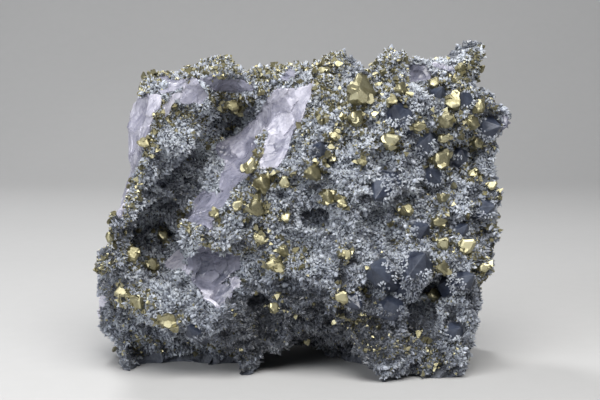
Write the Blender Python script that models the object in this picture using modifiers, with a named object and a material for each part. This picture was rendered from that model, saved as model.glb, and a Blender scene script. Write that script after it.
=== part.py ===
"""Quartz with chalcopyrite: a cabinet specimen standing on its own broken feet.

One block of massive quartz carries a crust of quartz crystals.  Brassy chalcopyrite
crystals sit in its pockets, each a piece of its own.  +X is the specimen's right,
-Y is its display face and +Z is up.  Sizes are in millimetres until MM turns them
into metres.  Places on the display face are read on a view of it, as (across, down)
on a sheet 600 wide and 400 high; view_of and sight_line turn them into the model's
own places.
"""
import math
import random

import bmesh
import bpy
import numpy as np
from mathutils import Euler, Matrix, Vector, noise
from mathutils.bvhtree import BVHTree

# ---------------------------------------------------------------- driving dimensions
MM = 0.001
SPECIMEN = "quartz_with_chalcopyrite"
ROCK = "quartz_rock"
REACH = 110.0                # half length of the outline solids, past every side
VOXEL = 1.5                  # grid of the rock while it is shaped
ROCK_TRIANGLES = 3600        # what the shaped rock is simplified to
SEAT_GAP = 0.3               # between a chalcopyrite crystal and its pocket
CORNER_CUT = 1.0             # where a crystal's corners are cut, in half widths
SWELL_SHARE = 1.6            # how far a half width grows to open the gap on every face
FOOT_CLEARANCE = 6.0         # no quartz points grow below this height
STAND_OUT = 0.02             # how far past the rock's surface a crystal's middle stands
SEED = 7

# The view that places on the display face are read on.
EYE = (-0.6, -431.6, 92.9)   # where the display face is looked at from
EYE_TARGET = (-0.6, 0, 47.5)
SHEET_CENTRE = (300, 200)
SHEET_SCALE = 1500           # sheet units for a slope of one
UNITS_PER_MM = 3.6           # sheet units for a millimetre on the display face

# The display face's outline (x, z), clockwise from the lower left.
FRONT_OUTLINE = (
    (-61.5, 22), (-61.8, 14), (-58, 7.5), (-50, 1.5), (-44, -6), (-24, -6),
    (-17, -1), (-11.5, 6), (-3, 4), (8, 4), (15, 2), (20, -6), (41, -6),
    (45.5, 1), (47.8, 10.5), (48.7, 18.7), (48.5, 26), (50.5, 34), (54.4, 41),
    (55.2, 49), (50.4, 57), (54, 64), (60.5, 71), (57, 76), (49.5, 77.5), (46, 81),
    (47.5, 86), (51.5, 93), (48.5, 95.5), (43.5, 91), (36, 88), (31, 82), (28.5, 89.5),
    (25, 90), (22.5, 84.5), (13.5, 84), (11, 88.6), (8, 89.6), (4.5, 87.5), (-5, 88),
    (-11, 85), (-15, 85.5), (-21, 88.6), (-30, 87), (-38, 84.5), (-45, 82.3),
    (-49.8, 78), (-50.5, 71), (-49.8, 63), (-50, 52), (-53, 42), (-58, 33),
)
# Seen from above (x, y): the left end stands further back than the right.
PLAN_OUTLINE = (
    (-60, -7), (-54, -19), (-41, -25), (-12, -27), (18, -29), (44, -28), (55, -22),
    (60, -8), (59, 10), (49, 23), (22, 29), (-8, 30), (-38, 26), (-54, 17), (-60, 5),
)
# Seen from the side (y, z): the base is narrower than the middle.
SIDE_OUTLINE = (
    (-25, -1.5), (-31, 9), (-33, 28), (-32, 58), (-29, 80), (-22, 93), (-12, 98),
    (4, 97), (17, 88), (27, 66), (32, 44), (33, 26), (29, 9), (22, -7),
)

# Relief of the display face: name, path (across, down), half width and rise in mm.
FRONT_RELIEF = (
    ("valley", ((236, 112), (215, 140), (196, 165), (176, 200), (160, 235), (150, 262)), 10, -15),
    ("valley shoulder", ((262, 100), (236, 136), (214, 168)), 12, -6),
    ("upper hole", ((238, 112), (226, 132)), 4.5, -8),
    ("ravine", ((188, 175), (170, 210)), 6, -8),
    ("ravine foot", ((162, 222), (148, 248)), 5, -5),
    ("druse ledge", ((165, 143), (206, 150)), 6, 8),
    ("left ridge", ((160, 98), (140, 150), (120, 205), (102, 262)), 6, 6),
    ("left scar", ((136, 98), (126, 150), (114, 200)), 5, -3),
    ("upper left brow", ((165, 80), (215, 76)), 6, 3),
    ("golden knob", ((192, 226),), 6, 7),
    ("gilded strip", ((262, 128), (250, 166)), 4, 4),
    ("slab hollow", ((296, 96), (262, 140), (230, 180)), 6, -3),
    ("brow", ((178, 244), (246, 244)), 6, 5),
    ("hollow under the brow", ((190, 276), (226, 276)), 8, -5),
    ("left foot swell", ((150, 330), (225, 330)), 11, 3),
    ("left foot set back", ((100, 378), (255, 378)), 17, -20),
    ("lower cleft", ((266, 365), (256, 322)), 5, -8),
    ("plateau", ((330, 110), (345, 200), (345, 280)), 21, 2.5),
    ("middle pit", ((320, 218),), 5.5, -7),
    ("slot", ((298, 288), (315, 303)), 4.5, -7),
    ("right trough", ((388, 150), (376, 200), (388, 246)), 6, -6),
    ("tall pit", ((430, 292), (422, 326)), 5, -8),
    ("right shelf", ((420, 100), (466, 116)), 7, 4),
    ("right hollow", ((420, 200), (478, 160)), 5, -6),
    ("lower right hollow", ((468, 226), (482, 246)), 4.5, -5),
    ("big crystal swell", ((392, 270), (430, 264)), 8, 3.5),
    ("dome", ((458, 352),), 9, 3),
    ("upper step", ((316, 80), (386, 80)), 5, -4),
    ("horn root", ((450, 62),), 6, -4),
)
# The dark hollow under the front edge, between the feet: centre and half sizes.
UNDERSIDE_HOLLOW = ((4, -25, -1), (20, 17, 9.5))
# Where the massive quartz is broken and bare of crystals: (across, down), half width.
BROKEN_QUARTZ = (
    ((143, 110), 7), ((130, 160), 5), ((190, 84), 5), ((290, 105), 5), ((272, 130), 8),
    ((250, 150), 6), ((232, 160), 6), ((208, 200), 7), ((200, 270), 9), ((222, 284), 7),
)

# Large quartz crystals with smooth dark faces: (across, down), width, lean right, lean up.
LARGE_QUARTZ = (
    ((396, 112), 7.0, -20, 30), ((426, 140), 6.0, 15, 35), ((378, 194), 6.2, -25, -20),
    ((422, 229), 5.0, 30, 25), ((418, 263), 8.6, 20, 40), ((376, 272), 7.0, -30, 20),
    ((388, 306), 7.0, -15, 30), ((466, 279), 5.6, 35, 25), ((458, 154), 5.0, 10, 30),
    ((492, 128), 6.0, 35, 10), ((462, 229), 4.4, 30, 35), ((462, 98), 4.4, -20, 35),
    ((355, 305), 4.6, 25, -20), ((455, 331), 5.0, 20, 25), ((437, 64), 5.0, -10, 45),
    ((464, 186), 4.6, 25, -25), ((430, 175), 5.6, -15, 20), ((488, 208), 4.6, 30, 15),
    ((330, 60), 4.6, -10, 55), ((394, 58), 4.8, 5, 50), ((480, 50), 4.6, 25, 45),
    ((503, 124), 6.4, 55, 5), ((190, 330), 4.4, -20, 25), ((318, 148), 4.0, 15, 30),
    ((425, 190), 4.4, 10, -10), ((290, 76), 4.6, -10, 50), ((438, 92), 4.2, 20, 40),
)
SMALL_QUARTZ_COUNT = 60      # quartz points fused all over the crust
SMALL_QUARTZ_WIDTH = (2.2, 4.2)

# Chalcopyrite on the display face: name, (across, down), width, height, turn in degrees.
CHALCOPYRITE_FRONT = (
    ("crown", (358, 91), 7.4, 8.4, 12), ("crown_foot", (354, 118), 4.0, 4.6, 50),
    ("upper_middle", (333, 136), 2.8, 2.6, 20), ("upper_right", (391, 140), 4.2, 5.0, 70),
    ("mid_speck", (361, 161), 2.4, 2.2, 10), ("shelf_a", (418, 127), 2.4, 3.2, 80),
    ("rim_a", (399, 88), 2.8, 3.4, 35), ("rim_b", (391, 101), 3.1, 2.8, 5),
    ("rim_c", (433, 83), 2.7, 3.4, 25), ("rim_d", (460, 69), 2.6, 3.2, 60),
    ("twin_top", (453, 101), 4.8, 4.4, 30), ("twin_low", (446, 120), 4.0, 4.4, 75),
    ("right_a", (471, 122), 3.8, 3.6, 40), ("right_b", (477, 142), 3.2, 4.2, 65),
    ("right_c", (478, 107), 2.6, 3.8, 15), ("right_d", (440, 159), 5.0, 5.0, 45),
    ("right_e", (472, 173), 2.6, 2.8, 30), ("right_f", (491, 186), 2.4, 2.8, 55),
    ("right_g", (444, 138), 2.4, 3.2, 70),
    ("centre_a", (261, 182), 4.4, 4.6, 55), ("centre_b", (248, 166), 3.2, 4.2, 20),
    ("centre_c", (283, 182), 3.0, 3.0, 0), ("centre_d", (311, 172), 4.6, 3.8, 35),
    ("centre_e", (327, 197), 3.6, 3.0, 65), ("centre_f", (340, 203), 2.4, 3.0, 10),
    ("bright", (252, 208), 5.0, 3.8, 25), ("strip_end", (236, 205), 2.6, 2.8, 50),
    ("gilded_cap", (213, 214), 3.0, 2.4, 5), ("low_a", (258, 238), 3.8, 2.6, 30),
    ("low_b", (282, 251), 3.4, 2.6, 60), ("flat_bright", (273, 265), 5.6, 3.2, 15),
    ("low_c", (284, 218), 2.6, 2.6, 35),
    ("middle_right", (406, 210), 3.6, 3.0, 20), ("tall_a", (437, 222), 2.4, 4.0, 85),
    ("tall_b", (442, 198), 2.3, 3.4, 75), ("lower_right_a", (443, 243), 3.6, 3.2, 40),
    ("lower_right_b", (467, 246), 4.0, 4.2, 55), ("lower_right_c", (441, 268), 4.0, 3.0, 35),
    ("lower_right_d", (432, 295), 3.4, 2.8, 10), ("lower_right_e", (484, 268), 2.6, 2.8, 70),
    ("slot_right", (341, 297), 4.0, 3.0, 25), ("slot_left", (272, 308), 3.2, 2.6, 50),
    ("lower_middle", (345, 255), 2.9, 2.5, 45), ("valley_top", (231, 104), 4.4, 4.0, 30),
    ("left_ledge", (142, 143), 3.8, 2.2, 15), ("left_pair", (131, 254), 4.8, 3.8, 60),
    ("left_mid", (161, 236), 3.2, 2.8, 40), ("left_low", (149, 265), 4.4, 3.4, 25),
    ("left_edge", (119, 292), 4.0, 3.2, 5), ("left_bright", (136, 302), 4.6, 2.8, 35),
    ("left_large", (167, 322), 5.8, 3.8, 10),
)
# Chalcopyrite on the other sides: name, bearing round the block, height, size, turn.
CHALCOPYRITE_ROUND = (
    ("back_a", 78, 62, 4.6, 20), ("back_b", 104, 30, 5.2, 55), ("back_c", 122, 56, 3.8, 35),
    ("left_side", 176, 36, 4.0, 65), ("right_side", 12, 40, 4.2, 10),
    ("right_back", 44, 70, 3.8, 45), ("top_back", 100, 78, 3.6, 30),
)

QUARTZ_COLOUR = (0.20, 0.22, 0.235, 1)
BRASS_COLOUR = (0.42, 0.35, 0.16, 1)


# ---------------------------------------------------------------- helpers
def new_collection(name):
    collection = bpy.data.collections.new(name)
    bpy.context.scene.collection.children.link(collection)
    return collection


def make_material(name, colour, roughness, metallic):
    material = bpy.data.materials.new(name)
    material.use_nodes = True
    shader = material.node_tree.nodes["Principled BSDF"]
    shader.inputs["Base Color"].default_value = colour
    shader.inputs["Roughness"].default_value = roughness
    shader.inputs["Metallic"].default_value = metallic
    material.diffuse_color = colour
    return material


def add_object(name, mesh, collection):
    thing = bpy.data.objects.new(name, mesh)
    collection.objects.link(thing)
    return thing


def mesh_from_bmesh(name, shape):
    mesh = bpy.data.meshes.new(name)
    shape.to_mesh(mesh)
    shape.free()
    return mesh


def settle(thing):
    """Put what the modifiers make into the object's own mesh."""
    depsgraph = bpy.context.evaluated_depsgraph_get()
    mesh = bpy.data.meshes.new_from_object(thing.evaluated_get(depsgraph))
    thing.modifiers.clear()
    old_mesh = thing.data
    thing.data = mesh
    bpy.data.meshes.remove(old_mesh)


def boolean(thing, other, operation, solver="EXACT"):
    step = thing.modifiers.new(operation.lower(), "BOOLEAN")
    step.operation = operation
    step.solver = solver
    step.object = other
    settle(thing)


def combine_each(thing, shapes, operation, collection):
    """Join or cut with many small closed shapes, one after another.

    They overlap each other and the rock at random, where EXACT leaves a few edges
    with four faces, so this takes the MANIFOLD solver.
    """
    tool = add_object("tool", bpy.data.meshes.new("tool"), collection)
    for shape in shapes:
        old_mesh = tool.data
        tool.data = mesh_from_bmesh("tool", shape)
        bpy.data.meshes.remove(old_mesh)
        boolean(thing, tool, operation, "MANIFOLD")
    bpy.data.objects.remove(tool)


def outline_solid(name, outline, turn, collection):
    """A flat outline given thickness: a filled 2D curve, made a mesh."""
    curve = bpy.data.curves.new(name, "CURVE")
    curve.dimensions = "2D"
    curve.fill_mode = "BOTH"
    curve.extrude = REACH * MM
    spline = curve.splines.new("POLY")
    spline.points.add(len(outline) - 1)
    for point, (across, along) in zip(spline.points, outline):
        point.co = (across * MM, along * MM, 0, 1)
    spline.use_cyclic_u = True
    drawn = add_object(name + "_curve", curve, collection)
    drawn.rotation_euler = turn
    bpy.context.view_layer.update()
    depsgraph = bpy.context.evaluated_depsgraph_get()
    mesh = bpy.data.meshes.new_from_object(drawn.evaluated_get(depsgraph))
    mesh.transform(drawn.matrix_world)
    shape = bmesh.new()
    shape.from_mesh(mesh)
    bmesh.ops.remove_doubles(shape, verts=shape.verts, dist=0.00001)
    bmesh.ops.recalc_face_normals(shape, faces=shape.faces)
    shape.to_mesh(mesh)
    shape.free()
    solid = add_object(name, mesh, collection)
    solid.hide_render = True
    solid.display_type = "WIRE"
    bpy.data.objects.remove(drawn)
    return solid


def sight_frame():
    """The view's own directions: across the sheet, up it and into it."""
    into = (Vector(EYE_TARGET) - Vector(EYE)).normalized()
    across = into.cross(Vector((0, 0, 1))).normalized()
    return across, across.cross(into), into


def view_of(places):
    """Where places in mm are seen on the sheet, as (across, down)."""
    across, upward, into = (np.array(axis) for axis in sight_frame())
    offset = places - np.array(EYE)
    depth = offset @ into
    return np.stack((SHEET_CENTRE[0] + SHEET_SCALE * (offset @ across) / depth,
                     SHEET_CENTRE[1] - SHEET_SCALE * (offset @ upward) / depth), axis=1)


def sight_line(spot):
    """The direction in which a place on the sheet is seen."""
    across, upward, into = sight_frame()
    right = (spot[0] - SHEET_CENTRE[0]) / SHEET_SCALE
    rise = (SHEET_CENTRE[1] - spot[1]) / SHEET_SCALE
    return (into + across * right + upward * rise).normalized()


def path_distance(points, path):
    """Distance from each point of the sheet to a path of one or more points, in mm."""
    nearest = np.full(len(points), 1e9)
    path = [np.array(place, float) for place in path]
    ends = path[1:] or path
    for start, end in zip(path, ends):
        run = end - start
        length2 = max(float(run @ run), 1e-9)
        share = np.clip(((points - start) @ run) / length2, 0, 1)
        offset = points - start - share[:, None] * run
        nearest = np.minimum(nearest, np.hypot(offset[:, 0], offset[:, 1]))
    return nearest / UNITS_PER_MM


def soft_step(value):
    value = np.clip(value, 0, 1)
    return value * value * (3 - 2 * value)


# ---------------------------------------------------------------- the rock
def rough_block(helpers):
    """The block where the three outlines meet, hollowed under its front edge."""
    front = outline_solid("front_outline", FRONT_OUTLINE, (math.pi / 2, 0, 0), helpers)
    plan = outline_solid("plan_outline", PLAN_OUTLINE, (0, 0, 0), helpers)
    side = outline_solid("side_outline", SIDE_OUTLINE, (math.pi / 2, 0, math.pi / 2), helpers)
    block = add_object(ROCK, front.data.copy(), helpers)
    boolean(block, plan, "INTERSECT")
    boolean(block, side, "INTERSECT")
    centre, half_sizes = UNDERSIDE_HOLLOW
    shape = bmesh.new()
    bmesh.ops.create_icosphere(shape, subdivisions=3, radius=MM)
    bmesh.ops.scale(shape, verts=shape.verts, vec=half_sizes)
    bmesh.ops.translate(shape, verts=shape.verts, vec=Vector(centre) * MM)
    hollow = add_object("underside_hollow", mesh_from_bmesh("underside_hollow", shape), helpers)
    hollow.hide_render = True
    hollow.display_type = "WIRE"
    boolean(block, hollow, "DIFFERENCE")
    return block


def remesh(thing, voxel):
    step = thing.modifiers.new("even grid", "REMESH")
    step.mode = "VOXEL"
    step.voxel_size = voxel * MM
    settle(thing)


def read_points(mesh):
    """Vertex places in mm and vertex normals."""
    places = np.empty(len(mesh.vertices) * 3)
    mesh.vertices.foreach_get("co", places)
    normals = np.array([vertex.normal for vertex in mesh.vertices])
    return places.reshape(-1, 3) / MM, normals


def write_points(mesh, places):
    mesh.vertices.foreach_set("co", (places * MM).ravel())
    mesh.update()


def lumps(place, size, salt):
    """Rounded lumps with creases between them, from -1 to 1."""
    value = noise.noise(Vector(place) / size + Vector((salt, 0, 0)))
    return 1 - 4 * abs(value)


def carve_relief(rock):
    """Sink the valleys and pits of the display face and raise its ridges."""
    places, normals = read_points(rock.data)
    seen = view_of(places)
    facing = soft_step(-normals[:, 1] * 1.5 + 0.15)
    rise = np.zeros(len(places))
    for _name, path, half_width, height in FRONT_RELIEF:
        rise += height * soft_step(1 - path_distance(seen, path) / half_width)
    places[:, 1] -= rise * facing
    write_points(rock.data, places)


def roughen(rock):
    """Break every side into lumps and ledges, largest first."""
    places, normals = read_points(rock.data)
    seen = view_of(places)
    bare = np.zeros(len(places))
    for centre, half_width in BROKEN_QUARTZ:
        bare = np.maximum(bare, soft_step(1.3 - path_distance(seen, (centre,)) / half_width))
    bare *= places[:, 1] < 0
    for index, place in enumerate(places):
        normal = normals[index]
        large = lumps(place, 19, 3.1) * 1.5
        middle = lumps(place, 10, 9.7) * 1.7
        ledge = math.floor(noise.noise(Vector(place) / 21) * 5) * 1.2
        swell = large + (middle + ledge) * (1 - 0.75 * bare[index])
        places[index] = place + normal * swell
    write_points(rock.data, places)


def keep_inside_outline(rock):
    """Bring stray lumps back inside the specimen's width, depth and height."""
    places, _normals = read_points(rock.data)
    places[:, 0] = np.clip(places[:, 0], -61, 61)
    places[:, 1] = np.clip(places[:, 1], -36, 34)
    places[:, 2] = np.clip(places[:, 2], -8, 97)
    write_points(rock.data, places)


def simplify(rock, triangles):
    """Fewer triangles, with the display face kept the finest."""
    triangulate = rock.modifiers.new("triangles", "TRIANGULATE")
    triangulate.quad_method = "BEAUTY"
    settle(rock)
    places, normals = read_points(rock.data)
    group = rock.vertex_groups.new(name="coarser")
    for index, normal in enumerate(normals):
        hidden = 1.0 if places[index][1] > 6 or normal[1] > 0.3 or normal[2] < -0.6 else 0.15
        group.add([index], hidden, "REPLACE")
    step = rock.modifiers.new("fewer faces", "DECIMATE")
    step.decimate_type = "COLLAPSE"
    step.ratio = triangles / len(rock.data.polygons)
    step.vertex_group = group.name
    step.vertex_group_factor = 0.12
    step.use_collapse_triangulate = True
    settle(rock)
    rock.vertex_groups.clear()


def flatten_feet(rock, helpers):
    """Cut the feet off at the plane that the specimen rests on."""
    shape = bmesh.new()
    bmesh.ops.create_cube(shape, size=2 * REACH * MM)
    bmesh.ops.translate(shape, verts=shape.verts, vec=(0, 0, -REACH * MM))
    ground = add_object("ground_cutter", mesh_from_bmesh("ground_cutter", shape), helpers)
    ground.hide_render = True
    ground.display_type = "WIRE"
    boolean(rock, ground, "DIFFERENCE")


# ---------------------------------------------------------------- quartz crystals
def surface_of(thing):
    shape = bmesh.new()
    shape.from_mesh(thing.data)
    tree = BVHTree.FromBMesh(shape)
    shape.free()
    return tree


def front_hit(tree, spot):
    """Where the sight line to a spot on the sheet meets the surface, and its normal.

    A spot just outside the outline takes the nearest place on the rim.
    """
    sight = sight_line(spot)
    eye = Vector(EYE) * MM
    place, normal, _face, _distance = tree.ray_cast(eye, sight)
    if place is None:
        beside = eye + sight * (Vector(EYE) - Vector(EYE_TARGET)).length * MM
        place, normal, _face, _distance = tree.find_nearest(beside)
    return place, normal


def round_hit(tree, bearing, z):
    """Where a level line from a bearing, in degrees round +Z, meets the surface."""
    outward = Vector((math.cos(math.radians(bearing)), math.sin(math.radians(bearing)), 0))
    start = outward * REACH * MM + Vector((0, 0, z * MM))
    place, normal, _face, _distance = tree.ray_cast(start, -outward)
    return place, normal


def quartz_crystal(width, length, spin, place, axis):
    """A six-sided prism with a pointed end, its root at place and its tip along axis."""
    shape = bmesh.new()
    radius = width / 2 * MM
    point = width * 0.62 * MM
    shank = max(length - width * 0.62, 0.3) * MM
    made = bmesh.ops.create_cone(shape, cap_ends=True, segments=6, radius1=radius,
                                 radius2=radius, depth=shank)
    bmesh.ops.translate(shape, verts=made["verts"], vec=(0, 0, shank / 2))
    top = max(shape.faces, key=lambda face: face.calc_center_median().z)
    tip = bmesh.ops.poke(shape, faces=[top])["verts"][0]
    tip.co.z += point
    turn = Vector((0, 0, 1)).rotation_difference(axis).to_matrix().to_4x4()
    matrix = Matrix.Translation(place) @ turn @ Matrix.Rotation(spin, 4, "Z")
    bmesh.ops.transform(shape, matrix=matrix, verts=shape.verts)
    return shape


def is_broken_quartz(place):
    seen = view_of(np.array([place]) / MM)
    return place.y < 0 and any(
        path_distance(seen, (centre,))[0] < half_width for centre, half_width in BROKEN_QUARTZ)


def near_chalcopyrite(place, seats, reach):
    return any((place - seat).length < (size * 0.75 + reach) * MM for seat, size in seats)


def grow_quartz(rock, seats, helpers):
    """Fuse the large dark crystals and many small points into the rock."""
    draw = random.Random(SEED)
    tree = surface_of(rock)
    crust = []
    for spot, width, lean_right, lean_up in LARGE_QUARTZ:
        place, _normal = front_hit(tree, spot)
        turn = Euler((math.radians(-lean_up), 0, math.radians(lean_right)))
        axis = turn.to_matrix() @ Vector((0, -1, 0))
        length = width * 1.5
        root = place - axis * length * 0.62 * MM
        crust.append(quartz_crystal(width, length, draw.uniform(0, 1), root, axis))
    faces = sorted(rock.data.polygons, key=lambda face: face.index)
    areas = np.cumsum([face.area for face in faces])
    grown = 0
    while grown < SMALL_QUARTZ_COUNT:
        face = faces[int(np.searchsorted(areas, draw.uniform(0, areas[-1])))]
        place = face.center.copy()
        width = draw.uniform(*SMALL_QUARTZ_WIDTH)
        if place.z < FOOT_CLEARANCE * MM or is_broken_quartz(place):
            continue
        if near_chalcopyrite(place, seats, width * 0.7):
            continue
        tilt = Vector((draw.uniform(-1, 1), draw.uniform(-1, 1), draw.uniform(-1, 1))) * 0.45
        axis = (face.normal + tilt).normalized()
        length = width * draw.uniform(1.1, 1.5)
        root = place - axis * length * 0.5 * MM
        crust.append(quartz_crystal(width, length, draw.uniform(0, 1), root, axis))
        grown += 1
    combine_each(rock, crust, "UNION", helpers)


# ---------------------------------------------------------------- chalcopyrite
def sphenoid(width, height, depth, turn, place, swell=0.0):
    """A chalcopyrite crystal: a four-faced wedge with its corners cut off."""
    shape = bmesh.new()
    made = bmesh.ops.create_cone(shape, cap_ends=True, segments=3, radius1=1.55, radius2=0,
                                 depth=2.2)
    bmesh.ops.translate(shape, verts=made["verts"], vec=(0, 0, 0.35))
    for corner in [vertex.co.normalized() for vertex in shape.verts]:
        cut = bmesh.ops.bisect_plane(
            shape, geom=shape.verts[:] + shape.edges[:] + shape.faces[:],
            plane_co=corner * CORNER_CUT, plane_no=corner, clear_outer=True)
        rim = [part for part in cut["geom_cut"] if isinstance(part, bmesh.types.BMEdge)]
        bmesh.ops.contextual_create(shape, geom=rim)
    bmesh.ops.recalc_face_normals(shape, faces=shape.faces)
    sides = [side / 2 + swell * SWELL_SHARE for side in (width, depth, height)]
    matrix = (Matrix.Translation(place) @ turn.to_matrix().to_4x4()
              @ Matrix.Diagonal([side * MM for side in sides]).to_4x4())
    bmesh.ops.transform(shape, matrix=matrix, verts=shape.verts)
    return shape


def plan_chalcopyrite(rock):
    """Every crystal's name, size, turn and seat on the rock."""
    tree = surface_of(rock)
    draw = random.Random(SEED + 1)
    planned = []
    for name, spot, width, height, turn in CHALCOPYRITE_FRONT:
        depth = (width + height) / 2
        place, normal = front_hit(tree, spot)
        centre = place + (normal * 0.4 + Vector((0, -0.6, 0))) * depth * STAND_OUT * MM
        tilt = Euler((draw.uniform(-0.5, 0.5), math.radians(turn), draw.uniform(-0.6, 0.6)))
        planned.append(("chalcopyrite_" + name, width, height, depth, tilt, centre))
    for name, bearing, z, size, turn in CHALCOPYRITE_ROUND:
        place, normal = round_hit(tree, bearing, z)
        centre = place + normal * size * STAND_OUT * MM
        tilt = Euler((draw.uniform(-0.5, 0.5), math.radians(turn), draw.uniform(-0.6, 0.6)))
        planned.append(("chalcopyrite_" + name, size, size * 0.85, size, tilt, centre))
    return planned


def seat_chalcopyrite(rock, planned, parts, helpers):
    """Cut a pocket for each crystal and set the crystal in it."""
    pockets = []
    for name, width, height, depth, turn, centre in planned:
        crystal = sphenoid(width, height, depth, turn, centre)
        add_object(name, mesh_from_bmesh(name, crystal), parts)
        pockets.append(sphenoid(width, height, depth, turn, centre, swell=SEAT_GAP))
    combine_each(rock, pockets, "DIFFERENCE", helpers)


def keep_largest_piece(rock):
    """Drop loose crumbs that the cuts left beside the rock."""
    shape = bmesh.new()
    shape.from_mesh(rock.data)
    unseen = set(shape.verts)
    pieces = []
    while unseen:
        piece = {unseen.pop()}
        edge_of = list(piece)
        while edge_of:
            vertex = edge_of.pop()
            for edge in vertex.link_edges:
                other = edge.other_vert(vertex)
                if other in unseen:
                    unseen.discard(other)
                    piece.add(other)
                    edge_of.append(other)
        pieces.append(piece)
    pieces.sort(key=len)
    for piece in pieces[:-1]:
        bmesh.ops.delete(shape, geom=list(piece), context="VERTS")
    shape.to_mesh(rock.data)
    shape.free()
    print("pieces of rock", [len(piece) for piece in pieces])


def centre_on_origin(things):
    """Set the middle of the whole object's footprint at the origin."""
    corners = np.concatenate([read_points(thing.data)[0] for thing in things])
    middle = (corners.min(axis=0) + corners.max(axis=0)) / 2
    shift = Vector((-middle[0], -middle[1], 0)) * MM
    for thing in things:
        thing.data.transform(Matrix.Translation(shift))
    print("shift", shift / MM, "size", corners.max(axis=0) - corners.min(axis=0))


def main():
    for thing in list(bpy.data.objects):
        bpy.data.objects.remove(thing)
    parts = new_collection(SPECIMEN)
    helpers = new_collection("cutters")
    rock = rough_block(helpers)
    remesh(rock, VOXEL)
    rounding = rock.modifiers.new("worn edges", "SMOOTH")
    rounding.iterations = 6
    settle(rock)
    carve_relief(rock)
    roughen(rock)
    keep_inside_outline(rock)
    remesh(rock, VOXEL)
    simplify(rock, ROCK_TRIANGLES)
    planned = plan_chalcopyrite(rock)
    seats = [(centre, max(width, height)) for _n, width, height, _d, _t, centre in planned]
    grow_quartz(rock, seats, helpers)
    flatten_feet(rock, helpers)
    seat_chalcopyrite(rock, planned, parts, helpers)
    keep_largest_piece(rock)
    helpers.objects.unlink(rock)
    parts.objects.link(rock)
    quartz = make_material("quartz", QUARTZ_COLOUR, 0.3, 0.0)
    brass = make_material("chalcopyrite", BRASS_COLOUR, 0.35, 0.9)
    for part in parts.objects:
        part.data.materials.clear()
        part.data.materials.append(quartz if part is rock else brass)
    centre_on_origin(list(parts.objects))
    for helper in helpers.objects:
        helper.hide_render = True
        helper.display_type = "WIRE"
    count = sum(len(face.vertices) - 2 for part in parts.objects for face in part.data.polygons)
    print("triangles", count)


main()
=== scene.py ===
# %% [markdown]
# # Quartz with chalcopyrite
# A cabinet specimen: a block of massive quartz, broken on some faces and covered with
# sugary quartz points on the others, with brassy chalcopyrite crystals in its pockets.
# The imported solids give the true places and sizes. This script dresses them: it grows
# the fine crystals that are too many for a solid model, and gives every mineral its
# finish. We start by loading the solids, which are never moved.

import math

import bmesh
import bpy
import numpy as np
from mathutils import Matrix, Vector, noise
from mathutils.bvhtree import BVHTree


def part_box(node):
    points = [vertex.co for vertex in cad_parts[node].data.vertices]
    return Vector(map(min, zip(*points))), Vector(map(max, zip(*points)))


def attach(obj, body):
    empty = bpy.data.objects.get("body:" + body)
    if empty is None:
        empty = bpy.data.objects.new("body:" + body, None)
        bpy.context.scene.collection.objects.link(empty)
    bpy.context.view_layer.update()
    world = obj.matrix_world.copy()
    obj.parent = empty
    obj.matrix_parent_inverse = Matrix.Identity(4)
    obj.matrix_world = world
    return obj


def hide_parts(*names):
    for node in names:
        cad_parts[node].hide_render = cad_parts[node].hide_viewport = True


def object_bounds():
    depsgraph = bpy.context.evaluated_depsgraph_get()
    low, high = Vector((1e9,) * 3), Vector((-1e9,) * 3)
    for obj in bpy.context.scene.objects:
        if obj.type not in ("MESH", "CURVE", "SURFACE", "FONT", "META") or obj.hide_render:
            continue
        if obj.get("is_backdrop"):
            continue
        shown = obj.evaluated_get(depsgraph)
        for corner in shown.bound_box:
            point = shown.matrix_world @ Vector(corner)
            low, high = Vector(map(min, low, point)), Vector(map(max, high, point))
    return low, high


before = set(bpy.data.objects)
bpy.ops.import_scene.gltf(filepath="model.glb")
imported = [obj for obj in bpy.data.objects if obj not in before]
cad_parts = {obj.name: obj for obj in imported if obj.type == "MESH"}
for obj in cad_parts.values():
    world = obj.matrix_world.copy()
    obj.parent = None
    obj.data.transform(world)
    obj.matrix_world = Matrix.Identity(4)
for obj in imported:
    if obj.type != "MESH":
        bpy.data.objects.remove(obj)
solids_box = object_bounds()
noise.seed_set(7)                    # vector noise would differ from run to run without it
MM = 0.001
ROCK = "quartz_rock"
brassy_nodes = sorted(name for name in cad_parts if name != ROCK)
lowest, highest = (np.array(corner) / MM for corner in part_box(ROCK))
print("rock", lowest.round(1), "to", highest.round(1), "and", len(brassy_nodes), "crystals")

# %% [markdown]
# ## The view that places are named on
# A specimen like this has no straight edge to measure from, so places on its display
# face are named on one fixed view of it, a sheet 600 across and 400 down. The camera
# looks the same way, so the numbers are also where things land in a picture. A long
# lens from 43 cm away keeps the block's sides nearly parallel.

# %% Camera
SHEET_WIDTH = 600
SHEET_CENTRE = np.array((300.0, 200.0))
SHEET_SCALE = 1500.0                 # sheet units for a slope of one
UNITS_PER_MM = 3.6                   # sheet units for a millimetre on the display face
TARGET = Vector((-0.0006, 0, 0.0475))
DISTANCE = 0.434
LOOK_DOWN = math.radians(6)


def add_object(name, data):
    """A new object in the scene for a mesh, a lamp or a camera."""
    thing = bpy.data.objects.new(name, data)
    bpy.context.scene.collection.objects.link(thing)
    return thing


eye = TARGET + DISTANCE * Vector((0, -math.cos(LOOK_DOWN), math.sin(LOOK_DOWN)))
camera = bpy.data.cameras.new("camera")
camera.sensor_width = 36
camera.lens = SHEET_SCALE * camera.sensor_width / SHEET_WIDTH
camera_object = add_object("camera", camera)
camera_object.location = eye
camera_object.rotation_euler = (TARGET - eye).to_track_quat("-Z", "Y").to_euler()
bpy.context.scene.camera = camera_object
into = np.array((TARGET - eye).normalized())
across = np.array((1.0, 0, 0))
upward = np.cross(across, into)
print("camera at", tuple(round(value, 4) for value in eye))


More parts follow.
